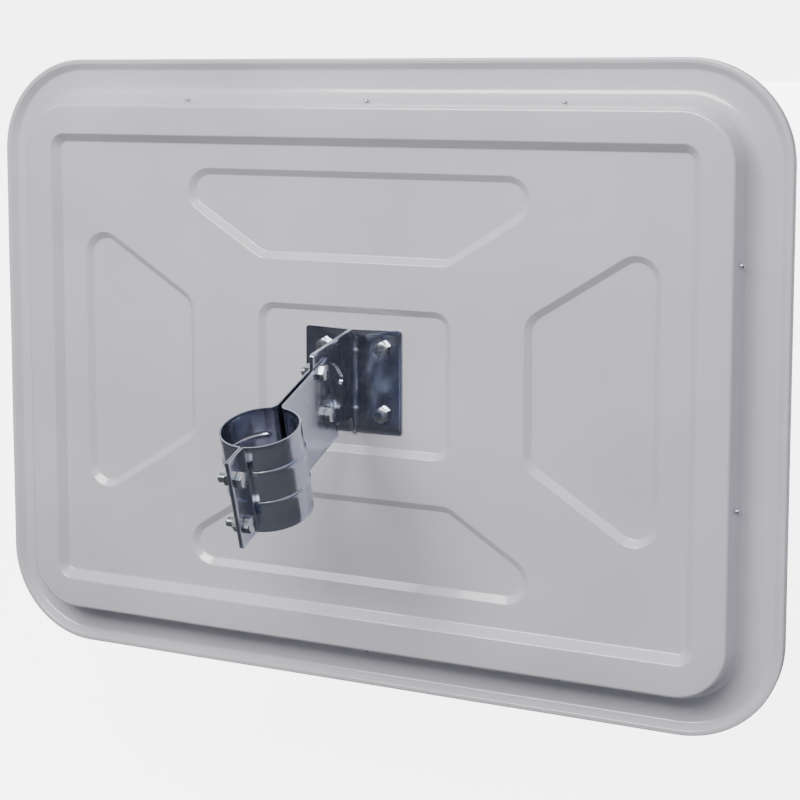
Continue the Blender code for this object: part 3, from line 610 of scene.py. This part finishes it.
def buildLens():
    # skirt, a rounded edge, then rings that shrink to the middle while their corners round off; height over
    # the edge is rise * (1 - (x / half width)^2) * (1 - (z / half height)^2), a parabola each way
    v = lens
    edge = filletedPath([(v["inset"], v["skirtBack"], 0), (v["inset"], v["edgeLevel"], v["edgeRound"]),
                         (v["inset"] + 9.0, v["edgeLevel"] - v["rise"] * 0.068, 0)], 6)[:-1]
    part = np.linspace(0.02, 0.999, v["domeRings"])
    startWidth, startHeight = panel["halfWidth"] - v["inset"] - 1.0, panel["halfHeight"] - v["inset"] - 1.0
    widths = np.concatenate([panel["halfWidth"] - edge[:, 0], startWidth * (1 - part)])
    heights = np.concatenate([panel["halfHeight"] - edge[:, 0], startHeight * (1 - part)])
    startRound = (panel["corner"] - v["inset"] - 1) / startHeight
    roundness = startRound + (v["centreRound"] - startRound) * part
    radii = np.concatenate([panel["corner"] - edge[:, 0], startHeight * (1 - part) * roundness])
    flat = roundedRings(widths, heights, radii, 16, 16)
    dome = v["rise"] * (1 - (flat[..., 0] / startWidth) ** 2) * (1 - (flat[..., 1] / startHeight) ** 2)
    levels = v["edgeLevel"] - dome
    levels[:len(edge)] = edge[:, 1:]
    rings = np.stack([flat[..., 0], levels, flat[..., 1]], -1)
    columns = rings.shape[1]
    points = np.concatenate([rings.reshape(-1, 3), [[0, v["edgeLevel"] - v["rise"], 0]]])
    faces = gridFaces(len(rings), columns)
    last = (len(rings) - 1) * columns
    faces += [(last + i, last + (i + 1) % columns, len(points) - 1) for i in range(columns)]
    piece = makePiece("mirrorLens", fromPanel(points), faces, mirrorFace, 60)
    faceOutward(piece)
    ensureFacing(piece, -panelNormal)
    thicken(piece, v["sheet"], -1)
    bakeModifiers(piece)
    finishShading(piece, 60)
    return piece


def ensureFacing(piece, direction):
    # an open dish: its furthest face along the direction has to face along it
    direction = Vector(direction)
    tip = max(piece.data.polygons, key=lambda face: face.center.dot(direction))
    if tip.normal.dot(direction) < 0:
        piece.data.flip_normals()


seal = {
    "insets": (48.6, 37.5),   # inner and outer side
    "levels": (-8.5, -13.8),  # back and front
    "rounds": (0.6, 0.8, 2.2, 1.4),
}


def buildSeal():
    # rubber section carried round the lens on the front of the flange
    inner, outer = seal["insets"]
    back, front = seal["levels"]
    middle = (back + front) / 2
    innerBack, outerBack, outerFront, innerFront = seal["rounds"]
    section = filletedPath([(inner, middle, 0), (inner, back, innerBack), (outer, back, outerBack),
                            (outer, front, outerFront), (inner, front, innerFront), (inner, middle, 0)],
                           4)[:-1]
    flat = roundedRings(panel["halfWidth"] - section[:, 0], panel["halfHeight"] - section[:, 0],
                        panel["corner"] - section[:, 0], 16, 12)
    level = np.broadcast_to(section[:, 1][:, None], flat.shape[:2])
    rings = np.stack([flat[..., 0], level, flat[..., 1]], -1)
    rings = np.concatenate([rings, rings[:1]])
    piece = makePiece("edgeSeal", fromPanel(rings.reshape(-1, 3)), gridFaces(len(rings), rings.shape[1]),
                      rubberBlack, 60)
    faceOutward(piece)
    finishShading(piece, 60)
    return piece


lensPiece = buildLens()
sealPiece = buildSeal()
print("lens and seal made")


# bracket

bracket = {
    "sheet": 1.5,
    "footHalf": 49.0,
    "footLevel": 14.05,      # middle of the foot's sheet
    "webInner": 0.15,
    "bendRadius": 3.25,      # of the sheet's mid-line
    "reach": 104.0,
    "topDrop": 11.0,
    "webBottom": 35.0,
    "cornerRound": 3.0,
    "edgeBevel": 0.25,
    "gussets": (28.0, -27.0),  # heights of the two small dimples that stiffen the bend
    "gussetRise": 1.5,
    "gussetHalf": 2.6,
    "fixings": (29.5, 31.0),   # of the four bolts, from the middle
    "fixingHole": 4.5,
}
tilt = {
    "pivot": (80.0, -19.5),
    "radius": 42.0,
    "slotHalf": 4.9,
    "slotFrom": math.radians(-52),
    "slotTo": math.radians(25),
    "hole": 4.5,
}


def slotOutline():
    # arc slot about the pivot bolt, angles from the panel's vertical, with half-round ends
    radius, half = tilt["radius"], tilt["slotHalf"]
    sweep = np.linspace(tilt["slotFrom"], tilt["slotTo"], 25)

    def around(center, r, angles):
        return np.column_stack([center[0] + r * np.sin(angles), center[1] + r * np.cos(angles)])

    pivot = tilt["pivot"]
    ends = [around(pivot, radius, np.array([angle]))[0] for angle in (tilt["slotTo"], tilt["slotFrom"])]
    turn = np.linspace(0, math.pi, 13)[1:-1]
    return np.concatenate([around(pivot, radius + half, sweep),
                           around(ends[0], half, tilt["slotTo"] + turn),
                           around(pivot, radius - half, sweep[::-1]),
                           around(ends[1], half, tilt["slotFrom"] + math.pi + turn)])


def circleOutline(center, radius, count=28):
    angle = np.linspace(0, 2 * math.pi, count, endpoint=False)
    return np.column_stack([center[0] + radius * np.cos(angle), center[1] + radius * np.sin(angle)])


def sheetFromOutline(name, outlines, along, fineLevels, mapPoints, thickness):
    # flat pattern of a bent sheet: outline and holes triangulated with grid lines across the bends, mapped
    # on to the bent mid-surface, then given its thickness and broken edges
    low, high = outlines[0].min(0), outlines[0].max(0)
    levels = np.sort(np.concatenate([np.linspace(low[1], high[1], 15), fineLevels]))
    gridA, gridB = np.meshgrid(along, levels)
    points, faces = fillLoops(outlines, np.column_stack([gridA.ravel(), gridB.ravel()]), 0.5)[1:3]
    piece = makePiece(name, mapPoints(points), faces, zincBracket, 40)
    thicken(piece, thickness)
    breakEdges(piece, bracket["edgeBevel"], 50)
    bakeModifiers(piece)
    return piece


def buildBracket(name, side):
    # flat pattern runs along u: foot, bend, web; its other axis is the height on the panel
    v = bracket
    webMiddle = v["webInner"] + v["sheet"] / 2
    footRun = v["footHalf"] - webMiddle - v["bendRadius"]
    bendRun = v["bendRadius"] * math.pi / 2
    webStart = footRun + bendRun
    webBase = v["footLevel"] + v["bendRadius"]
    webRun = v["reach"] - webBase

    def webU(level):
        return webStart + level - webBase

    def bend(points):
        # a gusset pushes the bend into its inner corner: rise * cos^2 along the bend and across its height
        u, height = points[:, 0], points[:, 1]
        turn = np.clip((u - footRun) / v["bendRadius"], 0, math.pi / 2)
        away = np.abs(u - footRun - bendRun / 2) / (bendRun / 2 + 0.8)
        across = sum(np.cos(np.clip((height - g) / v["gussetHalf"], -1, 1) * math.pi / 2) ** 2
                     for g in v["gussets"])
        push = across * np.cos(np.clip(away, 0, 1) * math.pi / 2) ** 2 * v["gussetRise"] / math.sqrt(2)
        x = v["footHalf"] - np.minimum(u, footRun) - v["bendRadius"] * np.sin(turn) + push
        level = v["footLevel"] + v["bendRadius"] * (1 - np.cos(turn)) + np.maximum(u - webStart, 0) + push
        return fromPanel(np.column_stack([side * x, level, height]))

    half = v["footHalf"]
    relief = webStart + 4.0
    webEnd, top = webU(v["reach"]), half - v["topDrop"]
    corners = [(0, -half), (webStart + 1.0, -half), (relief, -v["webBottom"]), (webEnd, -v["webBottom"]),
               (webEnd, top), (relief, half), (0, half)]
    outer = roundedPolygon(corners, [v["cornerRound"], 1.0, 3.0, 3.0, 3.0, 3.0, v["cornerRound"]], 5)
    slot = slotOutline()
    slotFlat = np.column_stack([webU(slot[:, 0]), slot[:, 1]])
    pivotHole = circleOutline((webU(tilt["pivot"][0]), tilt["pivot"][1]), tilt["hole"])
    across, up = v["fixings"]
    fixings = [circleOutline((half - across, z), v["fixingHole"]) for z in (-up, up)]
    along = np.concatenate([np.linspace(3, footRun - 2, 5), footRun + bendRun * np.linspace(0, 1, 9),
                            np.linspace(webStart + 3, webStart + webRun - 3, 9)])
    fineLevels = np.concatenate([g + np.linspace(-3, 3, 9) for g in v["gussets"]])
    loops = [outer, slotFlat, pivotHole, *fixings]
    return sheetFromOutline(name, loops, along, fineLevels, bend, v["sheet"])


backing = {
    "corner": 5.0,
    "level": 8.7,
    "sheet": 2.0,
}


def buildBackingPlate():
    half = bracket["footHalf"]
    across, up = bracket["fixings"]
    square = [(-half, -half), (half, -half), (half, half), (-half, half)]
    loops = [roundedPolygon(square, backing["corner"], 6)]
    loops += [circleOutline((x, z), bracket["fixingHole"]) for x in (-across, across) for z in (-up, up)]

    def lie(points):
        level = np.full(len(points), backing["level"])
        return fromPanel(np.column_stack([points[:, 0], level, points[:, 1]]))

    return sheetFromOutline("backingPlate", loops, np.linspace(-40, 40, 7), [], lie, backing["sheet"])


bracketLeft = buildBracket("bracketLeft", 1)
bracketRight = buildBracket("bracketRight", -1)
backingPiece = buildBackingPlate()
print("bracket made")


# pole clamp

band = {
    "radius": 33.75,        # mid-line
    "sheet": 1.5,
    "halfHeight": 40.0,
    "tailInner": 1.95,
    "tailEnd": 15.5,        # past the pivot bolt
    "tailFillet": 7.0,
    "flangeFillet": 2.5,
    "flangeGap": 0.3,       # half of the gap between the flanges
    "flangeLength": 25.5,
    "beads": (15.5, -13.0),
    "beadRise": 1.15,
    "beadHalf": 2.2,
    "edgeBevel": 0.3,
    "hole": 4.5,
}


def bandMidline():
    # tail, fillet, round the pole, fillet, flange; every bend is a tangent arc
    v = band
    tail, flange = v["tailInner"] + v["sheet"] / 2, v["flangeGap"] + v["sheet"] / 2
    pivotY = pivotPoint[1] / mm

    def fillet(offset, radius, sign):
        along = math.sqrt((v["radius"] + radius) ** 2 - (offset + radius) ** 2)
        center = np.array([offset + radius, sign * along])
        arc = math.acos(center[0] / np.linalg.norm(center))
        turn = np.linspace(0, arc, 8)
        return np.column_stack([center[0] - radius * np.cos(turn), center[1] - sign * radius * np.sin(turn)])

    rear, front = fillet(tail, v["tailFillet"], -1), fillet(flange, v["flangeFillet"], 1)[::-1]
    first, last = math.atan2(rear[-1, 1], rear[-1, 0]), math.atan2(front[0, 1], front[0, 0])
    angles = np.linspace(first, last, 74)[1:-1]
    wrap = np.column_stack([v["radius"] * np.cos(angles), v["radius"] * np.sin(angles)])
    tailRun = np.column_stack([np.full(30, tail), np.linspace(pivotY - v["tailEnd"], rear[0, 1], 31)[:-1]])
    tip = v["radius"] + v["sheet"] / 2 + v["flangeLength"]
    flangeRun = np.column_stack([np.full(10, flange), np.linspace(front[-1, 1], tip, 11)[1:]])
    path = np.concatenate([tailRun, rear, wrap, front, flangeRun])
    bead = np.zeros(len(path))
    start = len(tailRun) + len(rear)
    end = start + len(wrap)
    bead[start:end] = 1
    bead[start:start + 3] = [0.1, 0.5, 0.9]
    bead[end - 2:end] = [0.9, 0.35]
    return path, bead


def buildBand(name, side):
    # mid-line carried up the band's height; the beads push the sheet outwards by rise * cos^2 across
    # their width
    v = band
    path, bead = bandMidline()
    step = np.gradient(path, axis=0)
    step /= np.linalg.norm(step, axis=1)[:, None]
    outward = np.column_stack([step[:, 1], -step[:, 0]])
    fine = [b + np.linspace(-v["beadHalf"], v["beadHalf"], 9) for b in v["beads"]]
    levels = np.unique(np.concatenate([np.linspace(-v["halfHeight"], v["halfHeight"], 17), *fine]))
    lift = sum(np.where(np.abs(levels - b) < v["beadHalf"],
                        v["beadRise"] * np.cos((levels - b) / v["beadHalf"] * math.pi / 2) ** 2, 0)
               for b in v["beads"])
    push = bead[:, None] * lift[None, :]
    x = side * (path[:, :1] + outward[:, :1] * push)
    y = path[:, 1:] + outward[:, 1:] * push
    z = np.broadcast_to(levels[None, :], x.shape)
    points = np.stack([x, y, z], -1).reshape(-1, 3)
    piece = makePiece(name, fromRow(points), gridFaces(len(path), len(levels), 0, False), zincBand, 40)
    thicken(piece, v["sheet"])
    cutters = [boltCutter(bolt)
               for bolt in ("pivot_bolt", "lock_bolt", "flange_lower_bolt", "flange_upper_bolt")]
    for cutter in cutters:
        hole = piece.modifiers.new("boltHole", "BOOLEAN")
        hole.object = cutter
    breakEdges(piece, v["edgeBevel"], 60)
    bakeModifiers(piece)
    for cutter in cutters:
        bpy.data.objects.remove(cutter, do_unlink=True)
    finishShading(piece, 35)
    return piece


def boltCutter(node):
    # cutter for one bolt's hole, through both bands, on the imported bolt's own axis
    points = nodePoints(node)
    y, z = (points.min(0) + points.max(0))[1:] / 2 / mm
    work = bmesh.new()
    place = Matrix.Translation((0, y * mm, z * mm)) @ Matrix.Rotation(math.pi / 2, 4, "Y")
    radius = band["hole"] * mm
    bmesh.ops.create_cone(work, cap_ends=True, segments=32, radius1=radius, radius2=radius,
                          depth=60 * mm, matrix=place)
    mesh = bpy.data.meshes.new("boltCutter")
    work.to_mesh(mesh)
    work.free()
    cutter = bpy.data.objects.new("boltCutter", mesh)
    bpy.context.scene.collection.objects.link(cutter)
    return cutter


bandLeft = buildBand("bandLeft", 1)
bandRight = buildBand("bandRight", -1)
print("clamp bands made")


# fasteners

hexSize = {
    "flats": 13.0,
    "head": 5.3,
    "faceShare": 0.95,    # radius of the flat end face, as a share of half the flats
    "chamfer": 28.0,      # degrees
    "shank": 4.0,         # radius
    "tipCut": 1.1,
    "pitch": 1.25,
    "thread": 14.0,
    "threadDepth": 0.62,
    "bore": 4.3,
    "boreSink": 0.45,
}
screwSize = {
    "tip": (0.6, 1.2),    # radius and length
    "shank": 1.6,         # radius
    "head": 3.0,          # radius
    "headEdge": 0.25,
    "headRise": 1.5,
    "headHeight": 1.8,
}


def hexRadius(angles):
    # distance from the axis to the hexagon's side in each direction
    sixth = math.pi / 3
    return hexSize["flats"] / 2 / np.cos((angles + sixth / 2) % sixth - sixth / 2)


def turnedSurface(angles, heights, radii):
    # grid of one ring for each height; radii is one row for each ring
    return np.stack([radii * np.cos(angles)[None, :], radii * np.sin(angles)[None, :],
                     np.broadcast_to(heights[:, None], radii.shape)], -1)


def hexBlock(bottomRound, height, bore):
    # hexagon whose corners are cut by a cone: radius is the smaller of the hexagon's and the cone's
    angles = np.linspace(0, 2 * math.pi, 96, endpoint=False)
    corner = hexSize["flats"] / math.sqrt(3)
    faceRadius = hexSize["flats"] / 2 * hexSize["faceShare"]
    slope = math.tan(math.radians(hexSize["chamfer"]))
    cut = (corner - faceRadius) * slope
    rise = np.linspace(0, 1, 10)
    heights, limits = [0.0], [faceRadius if bottomRound else corner]
    if bottomRound:
        heights += list(cut * rise[1:])
        limits += list(faceRadius + (corner - faceRadius) * rise[1:])
    heights += list(height - cut + cut * rise)
    limits += list(corner - (corner - faceRadius) * rise)
    rings = np.minimum(hexRadius(angles)[None, :], np.array(limits)[:, None])
    ends = np.full((1, len(angles)), bore)
    return angles, np.concatenate([[0.0], heights, [height]]), np.concatenate([ends, rings, ends])


def threadedEnd(angles, bottom, top):
    # ridge of a single-start thread: the radius follows a triangle wave of height minus angle times pitch
    pitch, depth, outer = hexSize["pitch"], hexSize["threadDepth"], hexSize["shank"]
    count = max(int((top - bottom) / pitch * 8), 4)
    heights = np.linspace(bottom, top - 0.6, count)
    phase = (heights[:, None] / pitch - angles[None, :] / (2 * math.pi)) % 1.0
    wave = 1 - np.abs(2 * phase - 1)
    radii = outer - depth + depth * np.clip(wave * 1.25, 0, 1)
    last = np.full((1, len(angles)), outer - depth - 0.15)
    return np.concatenate([heights, [top]]), np.concatenate([radii, last])


def placePiece(name, points, faces, matrix):
    turned = np.asarray(points) * mm @ np.array(matrix.to_3x3()).T + np.array(matrix.translation)
    piece = makePiece(name, turned, faces, zincBolt, 34)
    faceOutward(piece)
    finishShading(piece, 34)
    return piece


def closedTurning(name, angles, heights, radii, matrix):
    # turned surface closed by a fan at each end
    points = turnedSurface(angles, heights, radii).reshape(-1, 3)
    points = np.concatenate([points, [[0, 0, heights[0]], [0, 0, heights[-1]]]])
    columns = len(angles)
    last = (len(heights) - 1) * columns
    faces = gridFaces(len(heights), columns)
    faces += [((i + 1) % columns, i, len(points) - 2) for i in range(columns)]
    faces += [(last + i, last + (i + 1) % columns, len(points) - 1) for i in range(columns)]
    return placePiece(name, points, faces, matrix)


def seatMatrix(node, axis, spin):
    # frame at the lower end of a fastener, with Z along its axis, turned by spin degrees; and its length
    points = nodePoints(node)
    axis = np.array(axis, float)
    side = np.cross(axis, [0, 0, 1] if abs(axis[2]) < 0.9 else [1, 0, 0])
    side /= np.linalg.norm(side)
    other = np.cross(axis, side)
    along, a, b = points @ axis, points @ side, points @ other
    origin = axis * along.min() + side * (a.min() + a.max()) / 2 + other * (b.min() + b.max()) / 2
    turn = math.radians(spin)
    x = side * math.cos(turn) + other * math.sin(turn)
    y = np.cross(axis, x)
    matrix = Matrix([[x[i], y[i], axis[i], origin[i]] for i in range(3)] + [[0, 0, 0, 1]])
    return matrix, (along.max() - along.min()) / mm


def buildBolt(name, node, axis, spin):
    # axis runs from the tip to the head; the head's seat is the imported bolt's own
    matrix, length = seatMatrix(node, axis, spin)
    angles, heights, radii = hexBlock(False, hexSize["head"], 0.01)
    seat = length - hexSize["head"]
    thread = min(hexSize["thread"], seat - 3)
    threadHeights, threadRadii = threadedEnd(angles, 0.0, thread)
    shank = np.full((1, len(angles)), hexSize["shank"])
    heights = np.concatenate([[0.0], thread - threadHeights[::-1], [seat], seat + heights[1:]])
    radii = np.concatenate([shank - hexSize["tipCut"], threadRadii[::-1], shank, radii[1:]])
    return closedTurning(name, angles, heights, radii, matrix)


def buildNut(name, node, axis, spin):
    # hexagon chamfered on both faces, with a countersunk bore
    matrix, thickness = seatMatrix(node, axis, spin)
    bore, sink = hexSize["bore"], hexSize["boreSink"]
    angles, heights, radii = hexBlock(True, thickness, bore + sink)
    ends = np.full((1, len(angles)), bore)
    heights = np.concatenate([[sink], heights, [thickness - sink, sink]])
    rings = turnedSurface(angles, heights, np.concatenate([ends, radii, ends, ends]))
    return placePiece(name, rings.reshape(-1, 3), gridFaces(len(rings), len(angles)), matrix)


def buildScrew(name, node, axis):
    # pan head on a plain shank with a pointed tip
    v = screwSize
    matrix, length = seatMatrix(node, axis, 0)
    angles = np.linspace(0, 2 * math.pi, 32, endpoint=False)
    turn = np.linspace(0, math.pi / 2, 8)
    seat = length - v["headHeight"]
    edge = seat + v["headEdge"]
    tipRadius, tipLength = v["tip"]
    heights = np.concatenate([[0.0, tipLength, seat, edge], edge + v["headRise"] * np.sin(turn)[1:]])
    radii = np.concatenate([[tipRadius, v["shank"], v["shank"], v["head"]],
                            v["head"] * np.cos(turn)[1:-1] ** 0.6, [0.25]])
    return closedTurning(name, angles, heights, np.tile(radii[:, None], len(angles)), matrix)


panelOut = tuple(panelNormal)
panelIn = tuple(-panelNormal)
fasteners = []
for name, spin in [("pivot", 8), ("lock", 14), ("flange_lower", 24), ("flange_upper", 3)]:
    boltPiece = buildBolt(name + "BoltTurned", name + "_bolt", (-1, 0, 0), spin)
    nutPiece = buildNut(name + "NutTurned", name + "_nut", (1, 0, 0), spin + 11)
    fasteners += [(boltPiece, name + "_bolt", "clamp"), (nutPiece, name + "_nut", "clamp")]
for number, spin in [(1, 4), (2, -7), (3, 12), (4, 2)]:
    bolt, nut = "fixing_bolt_%d" % number, "fixing_nut_%d" % number
    fasteners.append((buildBolt("fixingBoltTurned%d" % number, bolt, panelOut, spin), bolt, "mirror"))
    fasteners.append((buildNut("fixingNutTurned%d" % number, nut, panelIn, spin), nut, "mirror"))
for number in range(1, 11):
    node = "edge_screw_%02d" % number
    middle = (nodePoints(node).mean(0) - panelOrigin) @ panelTurn.T
    ratio = np.array([middle[0] / panel["halfWidth"], 0, middle[2] / panel["halfHeight"]])
    local = np.where(np.arange(3) == np.argmax(np.abs(ratio)), np.sign(ratio), 0)
    screwPiece = buildScrew("edgeScrewTurned%02d" % number, node, tuple(local @ panelTurn))
    fasteners.append((screwPiece, node, "mirror"))
print("fasteners made:", len(fasteners))


# hand the pieces to the frame

pieceTable = [
    (shellPiece, "back_shell", "mirror", "shell_plastic"),
    (lensPiece, "mirror_lens", "mirror", "mirror_face"),
    (sealPiece, "edge_seal", "mirror", "seal_rubber"),
    (bracketLeft, "bracket_left", "mirror", "zinc_sheet"),
    (bracketRight, "bracket_right", "mirror", "zinc_sheet"),
    (backingPiece, "backing_plate", "mirror", "zinc_sheet"),
    (bandLeft, "band_left", "clamp", "zinc_sheet"),
    (bandRight, "band_right", "clamp", "zinc_sheet"),
] + [(piece, node, body, "zinc_fastener") for piece, node, body in fasteners]
for piece, node, body, slotName in pieceTable:
    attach(piece, body)
    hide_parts(node)


# floor, light and camera

studio = {
    "floorDrop": 0.32,        # floor below the lowest point, metres
    "floorHalf": 14.0,
    "paper": "f8f8f8",
    "paperGlow": 5.0,
    "paperBounce": "4e4f52",  # what the floor sends back up behind the panel's back
    "paperFront": "b4b6ba",   # and in front of the mirror
    "backdrop": "ffffff",
    "behind": "56575e",       # unlit room behind the panel's back
    "right": "a2abc2",        # pale wall to the panel's right
    "front": "eef1f4",
    "above": "ffffff",
    "strength": 0.95,
    "backdropStrength": 9.0,
}


def fadeColor(tree, source, low, high, first, second):
    # first colour where the source is at the low value, second at the high one, with a smooth step between
    mask = addNode(tree, "ShaderNodeMapRange", {"interpolation_type": "SMOOTHSTEP"}, {
        "Value": source, "From Min": low, "From Max": high, "To Min": 0.0, "To Max": 1.0})
    mix = addNode(tree, "ShaderNodeMixRGB", inputs={
        "Fac": mask.outputs["Result"], "Color1": first, "Color2": second})
    return mix.outputs["Color"]


def buildFloor():
    level = cadLow[2] - studio["floorDrop"]
    half = studio["floorHalf"]
    points = [(-half, -half, level), (half, -half, level), (half, half, level), (-half, half, level)]
    material, tree, shader, place = newMaterial("palePaper", {"Roughness": 0.8, "Specular IOR Level": 0.2})
    seen = addNode(tree, "ShaderNodeLightPath").outputs["Is Camera Ray"]
    ahead = addNode(tree, "ShaderNodeSeparateXYZ", inputs={"Vector": place}).outputs["Y"]
    bounce = fadeColor(tree, ahead, -0.9, -0.3, studio["paperFront"], studio["paperBounce"])
    tree.links.new(fadeColor(tree, seen, 0.0, 1.0, bounce, studio["paper"]), shader.inputs["Base Color"])
    shader.inputs["Emission Color"].default_value = hexColor(studio["paper"])
    glow = addNode(tree, "ShaderNodeMath", {"operation": "MULTIPLY"}, {0: seen, 1: studio["paperGlow"]})
    tree.links.new(glow.outputs["Value"], shader.inputs["Emission Strength"])
    floor = makePiece("studioFloor", points, [(0, 1, 2, 3)], material)


def studioWorld():
    # dark behind the panel's back, pale blue wall to its right, bright in front of it and overhead: plated
    # faces turned backwards read dark, and their right-hand edges pick up the wall
    world = bpy.data.worlds.new("studio")
    bpy.context.scene.world = world
    world.use_nodes = True
    tree = world.node_tree
    direction = addNode(tree, "ShaderNodeTexCoord").outputs["Generated"]
    parts = addNode(tree, "ShaderNodeSeparateXYZ", inputs={"Vector": direction})
    tone = fadeColor(tree, parts.outputs["Y"], -0.35, 0.25, studio["front"], studio["behind"])
    tone = fadeColor(tree, parts.outputs["X"], -0.62, -0.9, tone, studio["right"])
    tone = fadeColor(tree, parts.outputs["Z"], 0.35, 0.8, tone, studio["above"])
    seen = addNode(tree, "ShaderNodeLightPath").outputs["Is Camera Ray"]
    tone = fadeColor(tree, seen, 0.0, 1.0, tone, studio["backdrop"])
    strength = addNode(tree, "ShaderNodeMapRange", inputs={
        "Value": seen, "To Min": studio["strength"], "To Max": studio["backdropStrength"]})
    background = tree.nodes["Background"]
    tree.links.new(tone, background.inputs["Color"])
    tree.links.new(strength.outputs["Result"], background.inputs["Strength"])


camera = {
    "azimuth": 22.96,    # degrees to the side of the panel's normal
    "pitch": 5.38,
    "lens": 71.9055,
    "sensor": 36.0,
    "shift": -0.21875,   # share of the frame's width, downwards
    "offset": (-38.2, -143.7, 1512.3),   # panel's middle seen from the camera: right, up, away
}


def buildCamera():
    # turn the panel's axes into the camera's, then step back along them
    v = camera
    side, pitch = math.radians(v["azimuth"]), math.radians(v["pitch"])
    seenRight, seenUp, seenBack = -panelAcross, panelUp, panelNormal
    right = math.cos(side) * seenRight - math.sin(side) * seenBack
    away = -math.sin(side) * seenRight - math.cos(side) * seenBack
    up = math.cos(pitch) * seenUp + math.sin(pitch) * away
    away = -math.sin(pitch) * seenUp + math.cos(pitch) * away
    data = bpy.data.cameras.new("camera")
    data.sensor_width = v["sensor"]
    data.lens = v["lens"]
    data.shift_y = v["shift"]
    data.clip_end = 100
    holder = bpy.data.objects.new("camera", data)
    bpy.context.scene.collection.objects.link(holder)
    place = panelOrigin - (right * v["offset"][0] + up * v["offset"][1] + away * v["offset"][2]) * mm
    holder.matrix_world = Matrix([[right[i], up[i], -away[i], place[i]] for i in range(3)] + [[0, 0, 0, 1]])
    bpy.context.scene.camera = holder


lights = {
    # place beside the panel's middle (across, out of the back, up), width and height, watts
    "keyAbove": ((200, 2000, 1500), (1800, 1000), 92),
    "fillBack": ((-600, 2600, 300), (2200, 1600), 5),
    "fillFront": ((0, -2600, 1000), (2200, 1600), 40),
}


def areaLight(name, offset, size, watts):
    # aimed at the panel's middle
    data = bpy.data.lights.new(name, "AREA")
    data.shape = "RECTANGLE"
    data.size, data.size_y = size[0] * mm, size[1] * mm
    data.energy = watts
    lamp = bpy.data.objects.new(name, data)
    bpy.context.scene.collection.objects.link(lamp)
    lamp.location = fromPanel(offset)
    lamp.rotation_euler = (Vector(panelOrigin) - lamp.location).to_track_quat("-Z", "Y").to_euler()
    lamp.visible_glossy = name == "keyAbove"


buildFloor()
studioWorld()
buildCamera()
for name, (offset, size, watts) in lights.items():
    areaLight(name, offset, size, watts)
print("studio ready")
